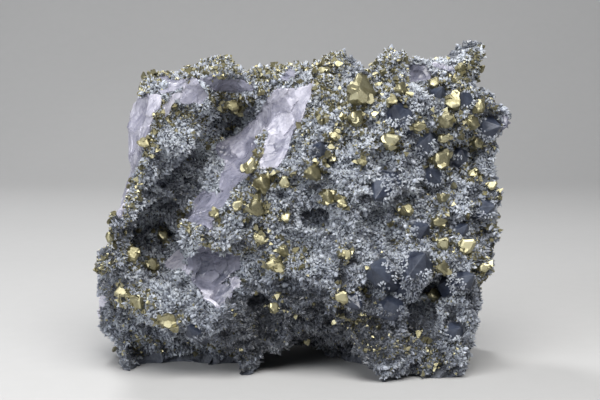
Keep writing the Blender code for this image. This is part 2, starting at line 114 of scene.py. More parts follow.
# %% Places on the sheet
def on_sheet(places):
    """Where places in metres are seen, as (across, down)."""
    offset = places - np.array(eye)
    depth = offset @ into
    return np.stack((SHEET_CENTRE[0] + SHEET_SCALE * (offset @ across) / depth,
                     SHEET_CENTRE[1] - SHEET_SCALE * (offset @ upward) / depth), axis=1)


def sight_line(spot):
    """The direction in which a spot on the sheet is seen."""
    right, down = (np.array(spot) - SHEET_CENTRE) / SHEET_SCALE
    return Vector(into + across * right - upward * down).normalized()


def path_distance(points, path):
    """Distance in mm from points on the sheet to a path of one or more points."""
    nearest = np.full(len(points), np.inf)
    corners = [np.array(corner, float) for corner in path]
    for start, end in zip(corners, corners[1:] or corners):
        run = end - start
        length = max(run @ run, 1e-9)        # a path of one point has no length
        share = np.clip((points - start) @ run / length, 0, 1)
        away = np.linalg.norm(points - start - share[:, None] * run, axis=1)
        nearest = np.minimum(nearest, away)
    return nearest / UNITS_PER_MM


def inside(points, outline):
    """True for the points on the sheet that lie inside a closed outline."""
    result = np.zeros(len(points), bool)
    corners = np.array(outline, float)
    for (x1, y1), (x2, y2) in zip(corners, np.roll(corners, -1, axis=0)):
        crosses = (y1 > points[:, 1]) != (y2 > points[:, 1])
        run = (x2 - x1) / (y2 - y1) if y1 != y2 else 0
        result ^= crosses & (points[:, 0] < x1 + run * (points[:, 1] - y1))
    return result


def soft_step(value):
    """A rise from 0 to 1 that starts and ends gently."""
    value = np.clip(value, 0, 1)
    return value * value * (3 - 2 * value)


# %% [markdown]
# ## Where the quartz is bare
# The milky quartz shows where the block broke: a tall thin face down the left edge, a
# big slanting slab above the middle, and a patch below it. Quartz has no cleavage, so a
# break is made of tilted plates with steps between them. Each plate is drawn as an
# outline on the sheet, with how milky it is, how far it stands out, and how it tilts.
# Later plates lie over earlier ones.

# %% Plates of bare quartz
# Plates that lie in hollows or face down are given a lower milkiness, so their darkness is partly
# the quartz's clearness and partly painted shade.
PLATES = (      # milky 0 to 1; height in mm; rise to the right and downwards, mm in 10 units
    ("slab", 0.54, -0.5, (0.1, 0.0), ((319, 76), (310, 84), (294, 88), (273, 93), (264, 100),
        (253, 117), (241, 126), (229, 133), (218, 142), (216, 150), (222, 160), (218, 176),
        (243, 176), (254, 166), (266, 169), (278, 166), (287, 148), (290, 130), (300, 119),
        (306, 104), (313, 90))),
    ("slab crest", 0.68, -0.1, (0.0, 0.3), ((265, 103), (267, 98), (274, 92), (285, 88),
        (288, 92), (285, 96), (278, 100), (270, 106))),
    ("slab corner", 0.66, 0.0, (0.25, 0.1), ((289, 96), (286, 89), (303, 87), (311, 84),
        (319, 76), (313, 91), (307, 105), (303, 114), (300, 119), (292, 120), (293, 113),
        (290, 104))),
    ("slab hollow", 0.6, -0.5, (0.15, -0.3), ((255, 117), (266, 106), (278, 100), (285, 97),
        (289, 103), (292, 113), (292, 120), (283, 115), (278, 117), (274, 119), (269, 123),
        (267, 128), (259, 129), (255, 126))),
    ("slab white", 0.7, -0.3, (-0.1, 0.05), ((276, 118), (280, 115), (287, 114), (292, 120),
        (288, 129), (284, 136), (280, 131), (278, 124))),
    ("slab chip", 0.62, -0.35, (0.1, 0.1), ((268, 125), (273, 122), (276, 130), (273, 135),
        (269, 131))),
    ("slab foot", 0.34, -0.3, (0.05, -0.15), ((270, 132), (278, 138), (286, 135), (283, 146),
        (278, 156), (275, 165), (266, 167), (262, 156), (266, 148))),
    ("left plate", 0.6, -0.15, (-0.1, 0.15), ((227, 137), (231, 133), (237, 129), (246, 123),
        (255, 118), (256, 120), (254, 134), (252, 138), (246, 137), (240, 141), (241, 146),
        (241, 151), (235, 154), (229, 151), (227, 141))),
    ("under plate", 0.3, -0.6, (0.0, 0.1), ((241, 142), (247, 137), (252, 138), (255, 137),
        (252, 153), (247, 165), (240, 164), (239, 156), (231, 159), (229, 157), (236, 154),
        (241, 151))),
    ("dark step", 0.34, -0.75, (-0.1, -0.2), ((218, 145), (222, 141), (227, 142), (230, 151),
        (234, 154), (229, 158), (224, 157), (219, 153))),
    ("blue step", 0.3, -1.0, (0.1, -0.5), ((231, 159), (239, 156), (243, 163), (238, 167),
        (233, 167))),
    ("tongue top", 0.44, -0.4, (-0.1, 0.1), ((227, 159), (231, 160), (234, 168), (243, 168),
        (238, 178), (232, 185), (225, 190), (217, 189), (213, 180), (217, 170), (222, 166))),
    ("tongue", 0.34, -0.5, (0.1, 0.25), ((213, 190), (221, 189), (232, 184), (224, 197),
        (218, 207), (217, 214), (214, 218), (216, 231), (211, 231), (206, 223), (196, 222),
        (186, 222), (180, 216), (188, 210), (189, 203), (189, 196), (196, 189), (200, 187),
        (205, 189))),
    ("left face", 0.64, -0.5, (0.0, 0.0), ((130, 97), (137, 97), (153, 92), (160, 93),
        (162, 104), (162, 111), (157, 112), (151, 117), (149, 126), (142, 136), (139, 146),
        (136, 160), (132, 170), (129, 180), (124, 200), (118, 215), (104, 206), (112, 178),
        (120, 140), (118, 110))),
    ("left upper", 0.64, -0.2, (0.2, 0.25), ((128, 104), (131, 97), (137, 97), (153, 92),
        (160, 93), (162, 104), (162, 111), (156, 111), (147, 117), (139, 111), (132, 116),
        (122, 118))),
    ("left band", 0.4, -0.9, (0.7, -0.2), ((147, 125), (141, 133), (135, 144), (132, 158),
        (129, 168), (125, 180), (121, 198), (116, 214), (119, 216), (124, 201), (129, 180),
        (133, 170), (137, 160), (140, 146), (145, 136), (151, 127))),
    ("brow facet", 0.6, -0.3, (0.2, 0.1), ((182, 75), (190, 75), (197, 79), (202, 87), (208, 94),
        (211, 99), (203, 105), (192, 104), (184, 107), (178, 104), (181, 93), (181, 83))),
    ("brow spike", 0.8, -0.2, (0.3, 0.2), ((167, 106), (174, 93), (181, 90), (180, 98),
        (176, 103), (174, 108), (172, 113), (168, 117), (165, 110))),
    ("brow ledge", 0.34, -0.6, (0.1, 0.4), ((151, 75), (167, 70), (181, 67), (182, 78),
        (181, 88), (170, 92), (160, 92), (156, 88), (167, 84), (164, 77))),
    ("blue bands", 0.32, -0.7, (0.1, 0.3), ((197, 77), (212, 76), (232, 82), (250, 84),
        (256, 92), (236, 97), (214, 93), (207, 88))),
    ("left lobe", 0.66, -0.2, (0.1, 0.3), ((164, 259), (169, 252), (175, 248), (178, 252),
        (181, 258), (180, 261), (184, 268), (192, 271), (188, 276), (183, 271), (177, 267),
        (169, 267), (165, 264))),
    ("clear body", 0.23, -0.5, (0.0, 0.25), ((181, 258), (192, 259), (201, 253), (211, 253),
        (220, 258), (232, 258), (241, 259), (239, 271), (231, 272), (227, 276), (220, 281),
        (213, 289), (202, 287), (194, 281), (190, 276), (192, 271), (184, 268))),
    ("clear foot", 0.84, 0.0, (-0.2, 0.5), ((202, 287), (213, 289), (211, 295), (220, 301),
        (224, 304), (217, 306), (211, 301), (203, 295), (200, 291))),
    ("clear hollow", 0.22, -0.9, (0.5, -0.3), ((213, 289), (220, 281), (227, 279), (233, 285),
        (233, 293), (228, 301), (222, 303), (211, 295))),
    ("right lobe", 0.5, -0.3, (-0.3, 0.3), ((227, 276), (236, 275), (241, 279), (240, 286),
        (234, 288), (230, 281))),
    ("left foot spot", 0.7, -0.6, (0.0, 0.3), ((86, 297), (97, 293), (105, 302), (101, 310),
        (92, 309))),
    ("horn patch", 0.66, -0.3, (-0.2, 0.4), ((429, 60), (436, 58), (444, 61), (444, 67),
        (436, 69), (430, 67))),
    ("horn band", 0.3, -0.6, (-0.4, 0.2), ((444, 60), (452, 60), (455, 67), (444, 68))),
    ("horn ledge", 0.24, -0.6, (0.0, 0.3), ((410, 67), (420, 61), (427, 62), (428, 77),
        (414, 79))),
    ("rim glint", 0.42, -0.4, (0.0, 0.4), ((278, 75), (290, 64), (299, 68), (295, 77),
        (284, 83))),
    ("right end", 0.24, -0.5, (-0.1, 0.1), ((501, 118), (509, 116), (517, 122), (517, 131),
        (508, 138), (502, 134))),
    ("right hollow", 0.06, -0.9, (0.2, -0.4), ((487, 128), (491, 123), (500, 123), (499, 129),
        (490, 132))),
)
COVERED = (     # druse and grains lie over the plates here
    ((263, 126), (269, 131), (264, 143), (260, 156), (257, 168), (248, 172), (247, 164),
     (252, 152), (256, 138), (259, 130)),
    ((190, 168), (213, 166), (216, 176), (216, 187), (206, 188), (197, 187)),
)
DISPLAY_DEPTH = 0.006                # the display face's places lie in front of this
LEFT_DEPTH = 0.014                   # the left face's places reach further back by this
LEFT_OF, LEFT_FADE = 140, 12         # where the left face ends on the sheet, and how softly
UNEVEN_DEPTH = 0.007                 # how much the limit strays, in metres
WANDER = 1.2                         # sheet units by which the plates' outlines stray
WANDER_SCALE = 300                   # of the noise that they stray by, for metres
SOFT_EDGE = 0.8                      # mm over which one plate passes into the next
NO_PLATE = 0.3, -0.5, 9.0            # milkiness, height and distance to an edge off the plates


def bareness(places, seen):
    """How bare each place is, how milky, its plate's height and its distance to an edge."""
    wander = np.array([noise.noise_vector(place * WANDER_SCALE)
                       for place in map(Vector, places)])
    points = seen + wander[:, :2] * WANDER
    bare = np.zeros(len(places))
    milky, height, to_edge = (np.full(len(places), value) for value in NO_PLATE)
    for _name, milkiness, stands, rise, outline in PLATES:
        corners = np.array(outline, float)
        near = np.flatnonzero(np.all((points > corners.min(axis=0) - 4)
                                     & (points < corners.max(axis=0) + 4), axis=1))
        within = inside(points[near], outline)
        to_edge_here = path_distance(points[near], outline + outline[:1])
        share = soft_step(0.5 + np.where(within, to_edge_here, -to_edge_here) / SOFT_EDGE)
        plane = stands + (points[near] - corners.mean(axis=0)) @ np.array(rise) / 10
        milky[near] += share * (milkiness - milky[near])
        height[near] += share * (plane - height[near])
        bare[near[within]] = 1
        to_edge[near] = np.where(within, to_edge_here, np.minimum(to_edge[near], to_edge_here))
    for outline in COVERED:
        bare[inside(points, outline)] = 0
    on_left = soft_step((LEFT_OF - seen[:, 0]) / LEFT_FADE)
    depth_limit = DISPLAY_DEPTH + LEFT_DEPTH * on_left + UNEVEN_DEPTH * wander[:, 2]
    return bare * (places[:, 1] < depth_limit), milky, height, to_edge


print(len(PLATES), "plates")

# %% [markdown]
# ## The quartz body
# The body starts as a copy of the solid rock. The pockets that hold the chalcopyrite
# are filled first, by joining the crystals to it, because grains and druse will close
# them. A voxel remesh turns everything into one even closed skin of squares a little
# over a millimetre wide, which a smoothing rounds. The bare breaks need finer detail, so
# their squares are halved twice. Later the skin is drawn in by a millimetre, so that the
# points that grow on it reach the solid's own surface.

# %% Helpers for meshes
VOXEL = 1.15                         # side of the skin's squares in mm
SMOOTHINGS = 5
PLUG_SIZE = 1.35                     # a crystal's size against its solid, where it fills a pocket
BARE_FINENESS = 2                    # how often the bare areas' squares are halved
SHORTEST_HALVED = 0.35               # mm; an edge shorter than this is left whole


def add_piece(name, mesh, material):
    """An object for a finished mesh, riding on the one body."""
    piece = add_object(name, mesh)
    mesh.materials.clear()
    mesh.materials.append(material)
    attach(piece, "root")
    return piece


def merged_copy(node):
    """A bmesh copy of a solid, with its loose triangles merged."""
    shape = bmesh.new()
    shape.from_mesh(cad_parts[node].data)
    bmesh.ops.remove_doubles(shape, verts=shape.verts, dist=0.000002)
    return shape


def finished(shape, name):
    """A mesh of a bmesh, which is freed."""
    mesh = bpy.data.meshes.new(name)
    shape.to_mesh(mesh)
    shape.free()
    return mesh


def join(shape, mesh):
    """Adds a mesh to a bmesh and removes the mesh."""
    shape.from_mesh(mesh)
    bpy.data.meshes.remove(mesh)


def middle_of(shape):
    """The mean place of a bmesh's vertices."""
    return sum((vertex.co for vertex in shape.verts), Vector()) / len(shape.verts)


def in_steady_order(shape):
    """The same shape with its faces in one order, as a bevel leaves them in any order."""
    shape.verts.index_update()
    corners = [np.array([vertex.index for vertex in face.verts]) for face in shape.faces]
    steady = bmesh.new()
    verts = [steady.verts.new(vertex.co) for vertex in shape.verts]
    for face in sorted(np.roll(indices, -indices.argmin()).tolist() for indices in corners):
        steady.faces.new([verts[index] for index in face])
    steady.normal_update()
    shape.free()
    return steady


def apply_modifiers(thing):
    """The object's mesh as its modifiers make it."""
    depsgraph = bpy.context.evaluated_depsgraph_get()
    return bpy.data.meshes.new_from_object(thing.evaluated_get(depsgraph))


def read_points(mesh):
    """Places in metres and normals of a mesh's vertices."""
    places = np.empty(len(mesh.vertices) * 3)
    normals = np.empty(len(mesh.vertices) * 3)
    mesh.vertices.foreach_get("co", places)
    mesh.vertex_normals.foreach_get("vector", normals)
    return places.reshape(-1, 3), normals.reshape(-1, 3)


def set_value(mesh, name, values):
    """A number for every vertex, which a material can read."""
    layer = mesh.attributes.get(name) or mesh.attributes.new(name, "FLOAT", "POINT")
    layer.data.foreach_set("value", np.asarray(values, np.float32))


# %% Remesh the rock with its pockets filled
rock_shape = merged_copy(ROCK)
for node in brassy_nodes:
    crystal = merged_copy(node)
    middle = middle_of(crystal)
    bmesh.ops.translate(crystal, verts=crystal.verts, vec=-middle)
    bmesh.ops.scale(crystal, verts=crystal.verts, vec=(PLUG_SIZE,) * 3)
    bmesh.ops.translate(crystal, verts=crystal.verts, vec=middle)
    join(rock_shape, finished(crystal, "plug"))
skin = add_object("quartz_body", finished(rock_shape, "quartz_body"))
step = skin.modifiers.new("even skin", "REMESH")
step.mode = "VOXEL"
step.voxel_size = VOXEL * MM
step = skin.modifiers.new("rounded", "SMOOTH")
step.iterations = SMOOTHINGS
skin_mesh = apply_modifiers(skin)
bpy.data.objects.remove(skin)
print("skin of", len(skin_mesh.polygons), "squares")

# %% Halve the squares where the quartz is bare
skin_shape = bmesh.new()
skin_shape.from_mesh(skin_mesh)
for _round in range(BARE_FINENESS):
    places = np.array([vertex.co for vertex in skin_shape.verts])
    bare = bareness(places, on_sheet(places))[0]
    skin_shape.verts.index_update()
    long_edges = [edge for edge in skin_shape.edges
                  if bare[edge.verts[0].index] + bare[edge.verts[1].index] > 0
                  and edge.calc_length() > SHORTEST_HALVED * MM]
    bmesh.ops.subdivide_edges(skin_shape, edges=long_edges, cuts=1, use_grid_fill=True)
bmesh.ops.triangulate(skin_shape, faces=skin_shape.faces)
skin_shape.to_mesh(skin_mesh)
skin_shape.free()
print("skin of", len(skin_mesh.polygons), "triangles")

# %% [markdown]
# ## Breaks, lumps and pits
# Broken quartz has no cleavage: it chips into small tilted planes with steps between
# them. A crust of druse is the opposite, all round lumps with dark creases. Both are
# made by moving the skin along its normals. `chips` gives each point the tilted plane
# of the nearest of many scattered seeds. `ridges` folds a smooth noise, so that it rises
# to crests along winding lines and falls to hollows between them. A few pulls, like a
# sculptor's grab brush, bring the outline of the block nearer to the real one's before
# the relief goes on.

# %% Relief functions
def scatter_number(cells, salt):
    """A steady random number from 0 to 1 for each whole-numbered cell, by a sine hash."""
    mixed = np.sin(cells @ np.array((12.9898, 78.233, 37.719)) + salt * 19.19) * 43758.5453
    return mixed - np.floor(mixed)


def chips(places, size, salt):
    """Tilted planes with steps between them, from about -1 to 1. size is in mm."""
    scaled = places / (size * MM)
    home = np.floor(scaled)
    nearest = np.full(len(places), np.inf)
    height = np.zeros(len(places))
    for offset in np.ndindex(3, 3, 3):
        cells = home + np.array(offset) - 1
        seeds = cells + np.stack([scatter_number(cells, salt + axis) for axis in range(3)], 1)
        tilt = np.stack([scatter_number(cells, salt + 3 + axis) for axis in range(3)], 1) - 0.5
        away = scaled - seeds
        distance = np.linalg.norm(away, axis=1)
        level = (scatter_number(cells, salt + 6) - 0.5) * 0.7
        plane = np.sum(away * tilt, axis=1) * 2 + level
        closer = distance < nearest
        nearest[closer] = distance[closer]
        height[closer] = plane[closer]
    return height


def field(places, size, salt):
    """A smooth noise from about -1 to 1. size is in mm."""
    shift = Vector((salt, -salt, salt * 0.5))
    return np.array([noise.noise(place / (size * MM) + shift) for place in map(Vector, places)])


def ridges(places, size, salt):
    """Winding crests of height 1 with rounded hollows between them."""
    return 1 - np.abs(field(places, size, salt)) * 3.2


def pitted(places):
    """1 in the pits between clumps of druse, which are sunk into the skin and given painted
    shade, and 0 away from them.
    """
    return soft_step((field(places, 3.4, 9.3) - 0.14) * 3.5)


def druse_limit(places):
    """How far back the display face's druse reaches: further on top and on the right."""
    x, z = places[:, 0] / MM, places[:, 2] / MM
    return (6 + 16 * soft_step((z - 64) / 12) + 12 * soft_step((x - 40) / 10)) * MM


# %% Pull the outline
PULLS = (                            # spot, move right and down, reach, all in sheet units
    ((129, 84), (7, 11), 12), ((197, 68), (0, -6), 14), ((222, 62), (0, -8), 13),
    ((364, 69), (0, -9), 8), ((411, 49), (0, 12), 5), ((504, 124), (14, 0), 13),
    ((480, 70), (5, 0), 7), ((490, 45), (-5, 2), 4), ((265, 360), (0, -8), 10),
)

places, normals = read_points(skin_mesh)
seen = on_sheet(places)
depth = (places - np.array(eye)) @ into
for spot, (right, down), reach in PULLS:
    pull = np.exp(-(np.linalg.norm(seen - spot, axis=1) / reach) ** 2)
    pull *= depth / SHEET_SCALE * soft_step((places[:, 2] / MM - 2) / 4)
    places = places + pull[:, None] * (across * right - upward * down)
print(len(PULLS), "pulls")

# %% Tell the breaks from the crust
# Off the display face the block is broken in patches, and white veins run through it.
seen = on_sheet(places)
bare, milky, plate_height, to_edge = bareness(places, seen)
display = soft_step((druse_limit(places) - places[:, 1]) / (4 * MM))
patches = field(places, 17, 4.2) + 0.35 * field(places, 6, 8.8)
broken_back = (1 - display) * soft_step(1.0 - patches * 5)
veins = 0.62 + 0.5 * field(places, 13, 2.6) + 0.3 * field(places, 4, 8.1)
milky = np.where(bare > 0, milky, np.where(display > 0.5, 0.2, veins))
on_plates = bare > 0
bare = np.maximum(bare, broken_back)
print("bare share", round(float(bare.mean()), 3))

# %% Move the skin
CRUST_LEVEL = -1.15                  # mm, so that the points on it end at the solid's surface
PLATE_LEVEL, BACK_LEVEL = -0.95, -1.25        # of the breaks, on the display face and elsewhere
DEEPEST, SHALLOWEST = -3.4, -0.05
FLOOR_BAND = 1.2                     # below this height the skin only moves level
SPLINTER_LEAN = math.radians(48)     # the breaks' splinters rise to the right at this angle
SPLINTER_TURN = np.array(((math.cos(SPLINTER_LEAN), 0, math.sin(SPLINTER_LEAN)), (0, 1, 0),
                          (-math.sin(SPLINTER_LEAN), 0, math.cos(SPLINTER_LEAN))))

crust_relief = (CRUST_LEVEL + 2.0 * (ridges(places, 5.2, 1.7) - 0.72)
                + 0.50 * (ridges(places, 2.4, 6.1) - 0.5)
                - 2.2 * pitted(places))
splinters = places @ SPLINTER_TURN.T * (0.3, 1, 1)
planes = chips(places @ SPLINTER_TURN.T * (0.55, 1, 1), 3.4, 12.0)
milky = milky * (1 + 0.25 * planes)
break_relief = np.where(
    on_plates, PLATE_LEVEL + plate_height + 0.12 * chips(splinters, 1.7, 5.0) + 0.3 * planes,
    BACK_LEVEL + 2.0 * chips(places, 11, 2.0) + 1.0 * chips(splinters, 4.0, 8.0))
break_relief += 0.05 * field(places, 0.9, 3.0)
relief = crust_relief * (1 - bare) + break_relief * bare
relief = np.clip(relief, DEEPEST, SHALLOWEST) * MM
moved = places + normals * relief[:, None]
low = places[:, 2] < FLOOR_BAND * MM
moved[low, 2] = np.maximum(places[low, 2], 0)
moved = np.clip(moved, solids_box[0], solids_box[1])
skin_mesh.vertices.foreach_set("co", moved.ravel())
skin_mesh.update()
set_value(skin_mesh, "milky", milky)
set_value(skin_mesh, "bare", bare)
# A band along each plate's edge, which the finish makes lighter: partly the whiter thin edge of
# the quartz, partly a painted highlight.
set_value(skin_mesh, "edge", np.where(on_plates, np.exp(-(to_edge / 0.35) ** 2), 0))
print("moved by", round(float(relief.min()) / MM, 2), "to", round(float(relief.max()) / MM, 2))

# %% [markdown]
# ## Shared patterns
# Each pattern that several finishes need is a node group, made once. `mineral cloud`
# mixes a slow and a fast noise into a mask for cloudiness. `growth lines` gives the
# fine parallel steps that a growing crystal leaves, along the X of the places that it
# is given. `chipped planes` tilts every cell of a cell pattern its own way, as on a fresh
# break. All read places on the object, so the pattern stays when the view moves.

# %% Node helpers
def new_group(name, inputs, outputs):
    """A shader node group with named sockets, and its input and output nodes."""
    group = bpy.data.node_groups.new(name, "ShaderNodeTree")
    for socket, kind, value in inputs:
        made = group.interface.new_socket(socket, in_out="INPUT", socket_type=kind)
        if value is not None:
            made.default_value = value
    for socket, kind in outputs:
        group.interface.new_socket(socket, in_out="OUTPUT", socket_type=kind)
    return group, group.nodes.new("NodeGroupInput"), group.nodes.new("NodeGroupOutput")


def add_node(tree, kind, values=(), links=()):
    """A node with its settings: values by name, and links as (socket, source socket)."""
    node = tree.nodes.new(kind)
    for name, value in values:
        if isinstance(name, str) and hasattr(node, name):
            setattr(node, name, value)
        else:
            node.inputs[name].default_value = value
    for name, source in links:
        tree.links.new(source, node.inputs[name])
    return node


def calculate(tree, operation, first, second):
    """A math node; each operand is a number or a socket."""
    node = add_node(tree, "ShaderNodeMath", [("operation", operation)])
    for index, operand in enumerate((first, second)):
        if isinstance(operand, (int, float)):
            node.inputs[index].default_value = operand
        else:
            tree.links.new(operand, node.inputs[index])
    return node.outputs[0]


def times(tree, first, second):
    """One number or socket times another."""
    return calculate(tree, "MULTIPLY", first, second)


def plus(tree, first, second):
    """One number or socket added to another."""
    return calculate(tree, "ADD", first, second)


def sway(tree, mask, amount):
    """A mask from 0 to 1 as a change of up to half the amount, up or down."""
    return times(tree, calculate(tree, "SUBTRACT", mask, 0.5), amount)


def blend_colours(tree, mask, first, second):
    """A colour that goes from first to second as mask goes from 0 to 1."""
    node = add_node(tree, "ShaderNodeMix", [("data_type", "RGBA")])
    tree.links.new(mask, node.inputs["Factor"])
    for name, colour in (("A", first), ("B", second)):
        socket = [s for s in node.inputs if s.name == name and s.type == "RGBA"][0]
        if isinstance(colour, tuple):
            socket.default_value = colour
        else:
            tree.links.new(colour, socket)
    return [s for s in node.outputs if s.type == "RGBA"][0]


def ramp(tree, source, low, high):
    """A mask that rises from 0 at low to 1 at high."""
    node = add_node(tree, "ShaderNodeMapRange", [("interpolation_type", "SMOOTHSTEP"),
                                                 ("From Min", low), ("From Max", high)],
                    [("Value", source)])
    return node.outputs["Result"]


# %% The mineral cloud group
cloud, group_in, group_out = new_group(
    "mineral cloud",
    (("Slow Scale", "NodeSocketFloat", 90.0), ("Fine Scale", "NodeSocketFloat", 700.0),
     ("Fine Share", "NodeSocketFloat", 0.4)),
    (("Cloud", "NodeSocketFloat"), ("Specks", "NodeSocketFloat")))
where = add_node(cloud, "ShaderNodeTexCoord").outputs["Object"]
slow = add_node(cloud, "ShaderNodeTexNoise", [("Detail", 4.0), ("Distortion", 0.6)],
                [("Vector", where), ("Scale", group_in.outputs["Slow Scale"])])
fine = add_node(cloud, "ShaderNodeTexNoise", [("Detail", 3.0)],
                [("Vector", where), ("Scale", group_in.outputs["Fine Scale"])])
share = group_in.outputs["Fine Share"]
kept = calculate(cloud, "SUBTRACT", 1.0, share)
mixed = plus(cloud, times(cloud, slow.outputs["Fac"], kept),
             times(cloud, fine.outputs["Fac"], share))
cloud.links.new(mixed, group_out.inputs["Cloud"])
cloud.links.new(ramp(cloud, fine.outputs["Fac"], 0.56, 0.72), group_out.inputs["Specks"])
print("group", cloud.name)

# %% The growth lines group
lines, group_in, group_out = new_group(
    "growth lines",
    (("Place", "NodeSocketVector", None), ("Line Scale", "NodeSocketFloat", 900.0),
     ("Stretch", "NodeSocketFloat", 0.12)),
    (("Height", "NodeSocketFloat"),))
stretch = add_node(lines, "ShaderNodeCombineXYZ", [("Y", 1.0), ("Z", 1.0)],
                   [("X", group_in.outputs["Stretch"])])
along = add_node(lines, "ShaderNodeVectorMath", [("operation", "MULTIPLY")],
                 [(0, group_in.outputs["Place"]), (1, stretch.outputs[0])])
pattern = add_node(lines, "ShaderNodeTexNoise", [("Detail", 2.0), ("Roughness", 0.6)],
                   [("Vector", along.outputs[0]), ("Scale", group_in.outputs["Line Scale"])])
lines.links.new(pattern.outputs["Fac"], group_out.inputs["Height"])
print("group", lines.name)

# %% The chipped planes group
chipped, group_in, group_out = new_group(
    "chipped planes",
    (("Place", "NodeSocketVector", None), ("Chip Scale", "NodeSocketFloat", 250.0)),
    (("Height", "NodeSocketFloat"),))
place, scale = group_in.outputs["Place"], group_in.outputs["Chip Scale"]
cell = add_node(chipped, "ShaderNodeTexVoronoi", [], [("Vector", place), ("Scale", scale)])
away = add_node(chipped, "ShaderNodeVectorMath", [("operation", "SUBTRACT")],
                [(0, place), (1, cell.outputs["Position"])])
tilt = add_node(chipped, "ShaderNodeVectorMath",
                [("operation", "SUBTRACT"), (1, (0.5, 0.5, 0.5))], [(0, cell.outputs["Color"])])
slope = add_node(chipped, "ShaderNodeVectorMath", [("operation", "DOT_PRODUCT")],
                 [(0, away.outputs[0]), (1, tilt.outputs[0])])
chipped.links.new(times(chipped, slope.outputs["Value"], scale), group_out.inputs["Height"])
print("group", chipped.name)

# %% [markdown]
# ## Finishes of the quartz
# Quartz is one mineral in four dresses here. The milky breaks are white to lavender and
# let light in a little way, which is subsurface scattering, and their plates' edges are
# lighter, partly as the whiter thin edge and partly as a painted highlight. The ground
# under the druse is painted near black, as the shade that falls between the points. The
# large crystal faces are clear enough to look slate blue, because light goes in and is
# lost. The druse points let some light through and scatter some inside, and each has a
# tint of its own, stored on its vertices, which also carries painted shade and painted
# light; each point's foot is painted dark, as the shade where the points crowd.

# %% Material helpers
def new_material(name, **sockets):
    """A material, its node tree and its shader, with constants set on the shader."""
    material = bpy.data.materials.new(name)
    material.use_nodes = True
    shader = material.node_tree.nodes["Principled BSDF"]
    for socket, value in sockets.items():
        shader.inputs[socket.replace("_", " ")].default_value = value
    return material, material.node_tree, shader


def place_group(tree, group, **values):
    """A node that uses a group, with constants set on its sockets."""
    node = add_node(tree, "ShaderNodeGroup", [("node_tree", group)])
    for socket, value in values.items():
        node.inputs[socket.replace("_", " ")].default_value = value
    return node


def connect(tree, shader, colour, roughness):
    """Gives the shader its colour and its roughness."""
    tree.links.new(colour, shader.inputs["Base Color"])
    tree.links.new(roughness, shader.inputs["Roughness"])


def add_bump(tree, shader, height, distance, strength=1.0):
    """Small relief that the shading shows; distance is in metres."""
    bump = add_node(tree, "ShaderNodeBump", [("Strength", strength), ("Distance", distance)],
                    [("Height", height)])
    tree.links.new(bump.outputs[0], shader.inputs["Normal"])


def stored(tree, name, output="Fac"):
    """The number or vector that a mesh stores under this name."""
    return add_node(tree, "ShaderNodeAttribute", [("attribute_name", name)]).outputs[output]


def object_places(tree, turn=(0.0, 0.0, 0.0)):
    """Places on the object, turned so that a pattern's X lies where it should."""
    where = add_node(tree, "ShaderNodeTexCoord").outputs["Object"]
    turned = add_node(tree, "ShaderNodeMapping", [("Rotation", turn)], [("Vector", where)])
    return turned.outputs[0]


def growth_lines(tree, places, scale, stretch):
    """Fine parallel steps along the X of the given places."""
    node = place_group(tree, lines, Line_Scale=scale, Stretch=stretch)
    tree.links.new(places, node.inputs["Place"])
    return node.outputs["Height"]


# %% Broken milky quartz
SLATE = (0.045, 0.052, 0.078, 1)
LAVENDER = (0.215, 0.214, 0.275, 1)
WHITE_QUARTZ = (0.56, 0.55, 0.62, 1)
SMOKE = (0.13, 0.13, 0.165, 1)

broken_quartz, tree, shader = new_material(
    "broken_quartz", Roughness=0.32, IOR=1.544, Subsurface_Weight=0.15,
    Subsurface_Radius=(0.0008, 0.0008, 0.0010), Subsurface_Scale=1.0)
veil = place_group(tree, cloud, Slow_Scale=150.0, Fine_Scale=900.0, Fine_Share=0.35)
leaning_places = object_places(tree, (0.0, SPLINTER_LEAN, 0.0))
cleft = growth_lines(tree, leaning_places, 900.0, 0.14)
milk = stored(tree, "milky")
# The edge band adds a painted highlight along the plates' edges, and partly their whiter thin
# quartz.
for change in (sway(tree, veil.outputs["Cloud"], 0.8), sway(tree, cleft, 0.35),
               times(tree, stored(tree, "edge"), 0.12)):
    milk = plus(tree, milk, change)
dark_part = blend_colours(tree, ramp(tree, milk, 0.0, 0.5), SLATE, LAVENDER)
whole = blend_colours(tree, ramp(tree, milk, 0.42, 1.02), dark_part, WHITE_QUARTZ)
whole = blend_colours(tree, times(tree, veil.outputs["Specks"], 0.3), whole, SMOKE)
connect(tree, shader, whole, ramp(tree, veil.outputs["Cloud"], 0.1, 1.1))
flakes = 0
for chip_scale, height in ((190.0, 1.6), (520.0, 0.6)):
    chip = place_group(tree, chipped, Chip_Scale=chip_scale)
    tree.links.new(leaning_places, chip.inputs["Place"])
    flakes = plus(tree, times(tree, chip.outputs["Height"], height), flakes)
add_bump(tree, shader, plus(tree, flakes, times(tree, cleft, 0.5)), 0.0005, 0.6)

# %% Ground of the crust, painted dark as the shade between the points
crust_ground_painted_shade, tree, shader = new_material("crust_ground_painted_shade", Roughness=0.5, IOR=1.544)
grit = place_group(tree, cloud, Slow_Scale=260.0, Fine_Scale=1500.0, Fine_Share=0.5)
ground_colour = blend_colours(tree, ramp(tree, grit.outputs["Cloud"], 0.35, 0.65),
                              (0.022, 0.026, 0.034, 1), (0.10, 0.11, 0.135, 1))
connect(tree, shader, ground_colour, ramp(tree, grit.outputs["Cloud"], -0.2, 1.0))
add_bump(tree, shader, grit.outputs["Cloud"], 0.0006)

# %% Large clear crystal faces
dark_quartz, tree, shader = new_material(
    "dark_quartz_faces", Roughness=0.35, IOR=1.544, Transmission_Weight=0.3)
haze = place_group(tree, cloud, Slow_Scale=220.0, Fine_Scale=1300.0, Fine_Share=0.3)
face_colour = blend_colours(tree, ramp(tree, haze.outputs["Cloud"], 0.35, 0.7),
                            (0.017, 0.023, 0.044, 1), (0.066, 0.082, 0.122, 1))
connect(tree, shader, face_colour, ramp(tree, haze.outputs["Cloud"], -0.4, 1.7))
steps = growth_lines(tree, object_places(tree), 1400.0, 0.1)
add_bump(tree, shader, steps, 0.00012, 0.6)

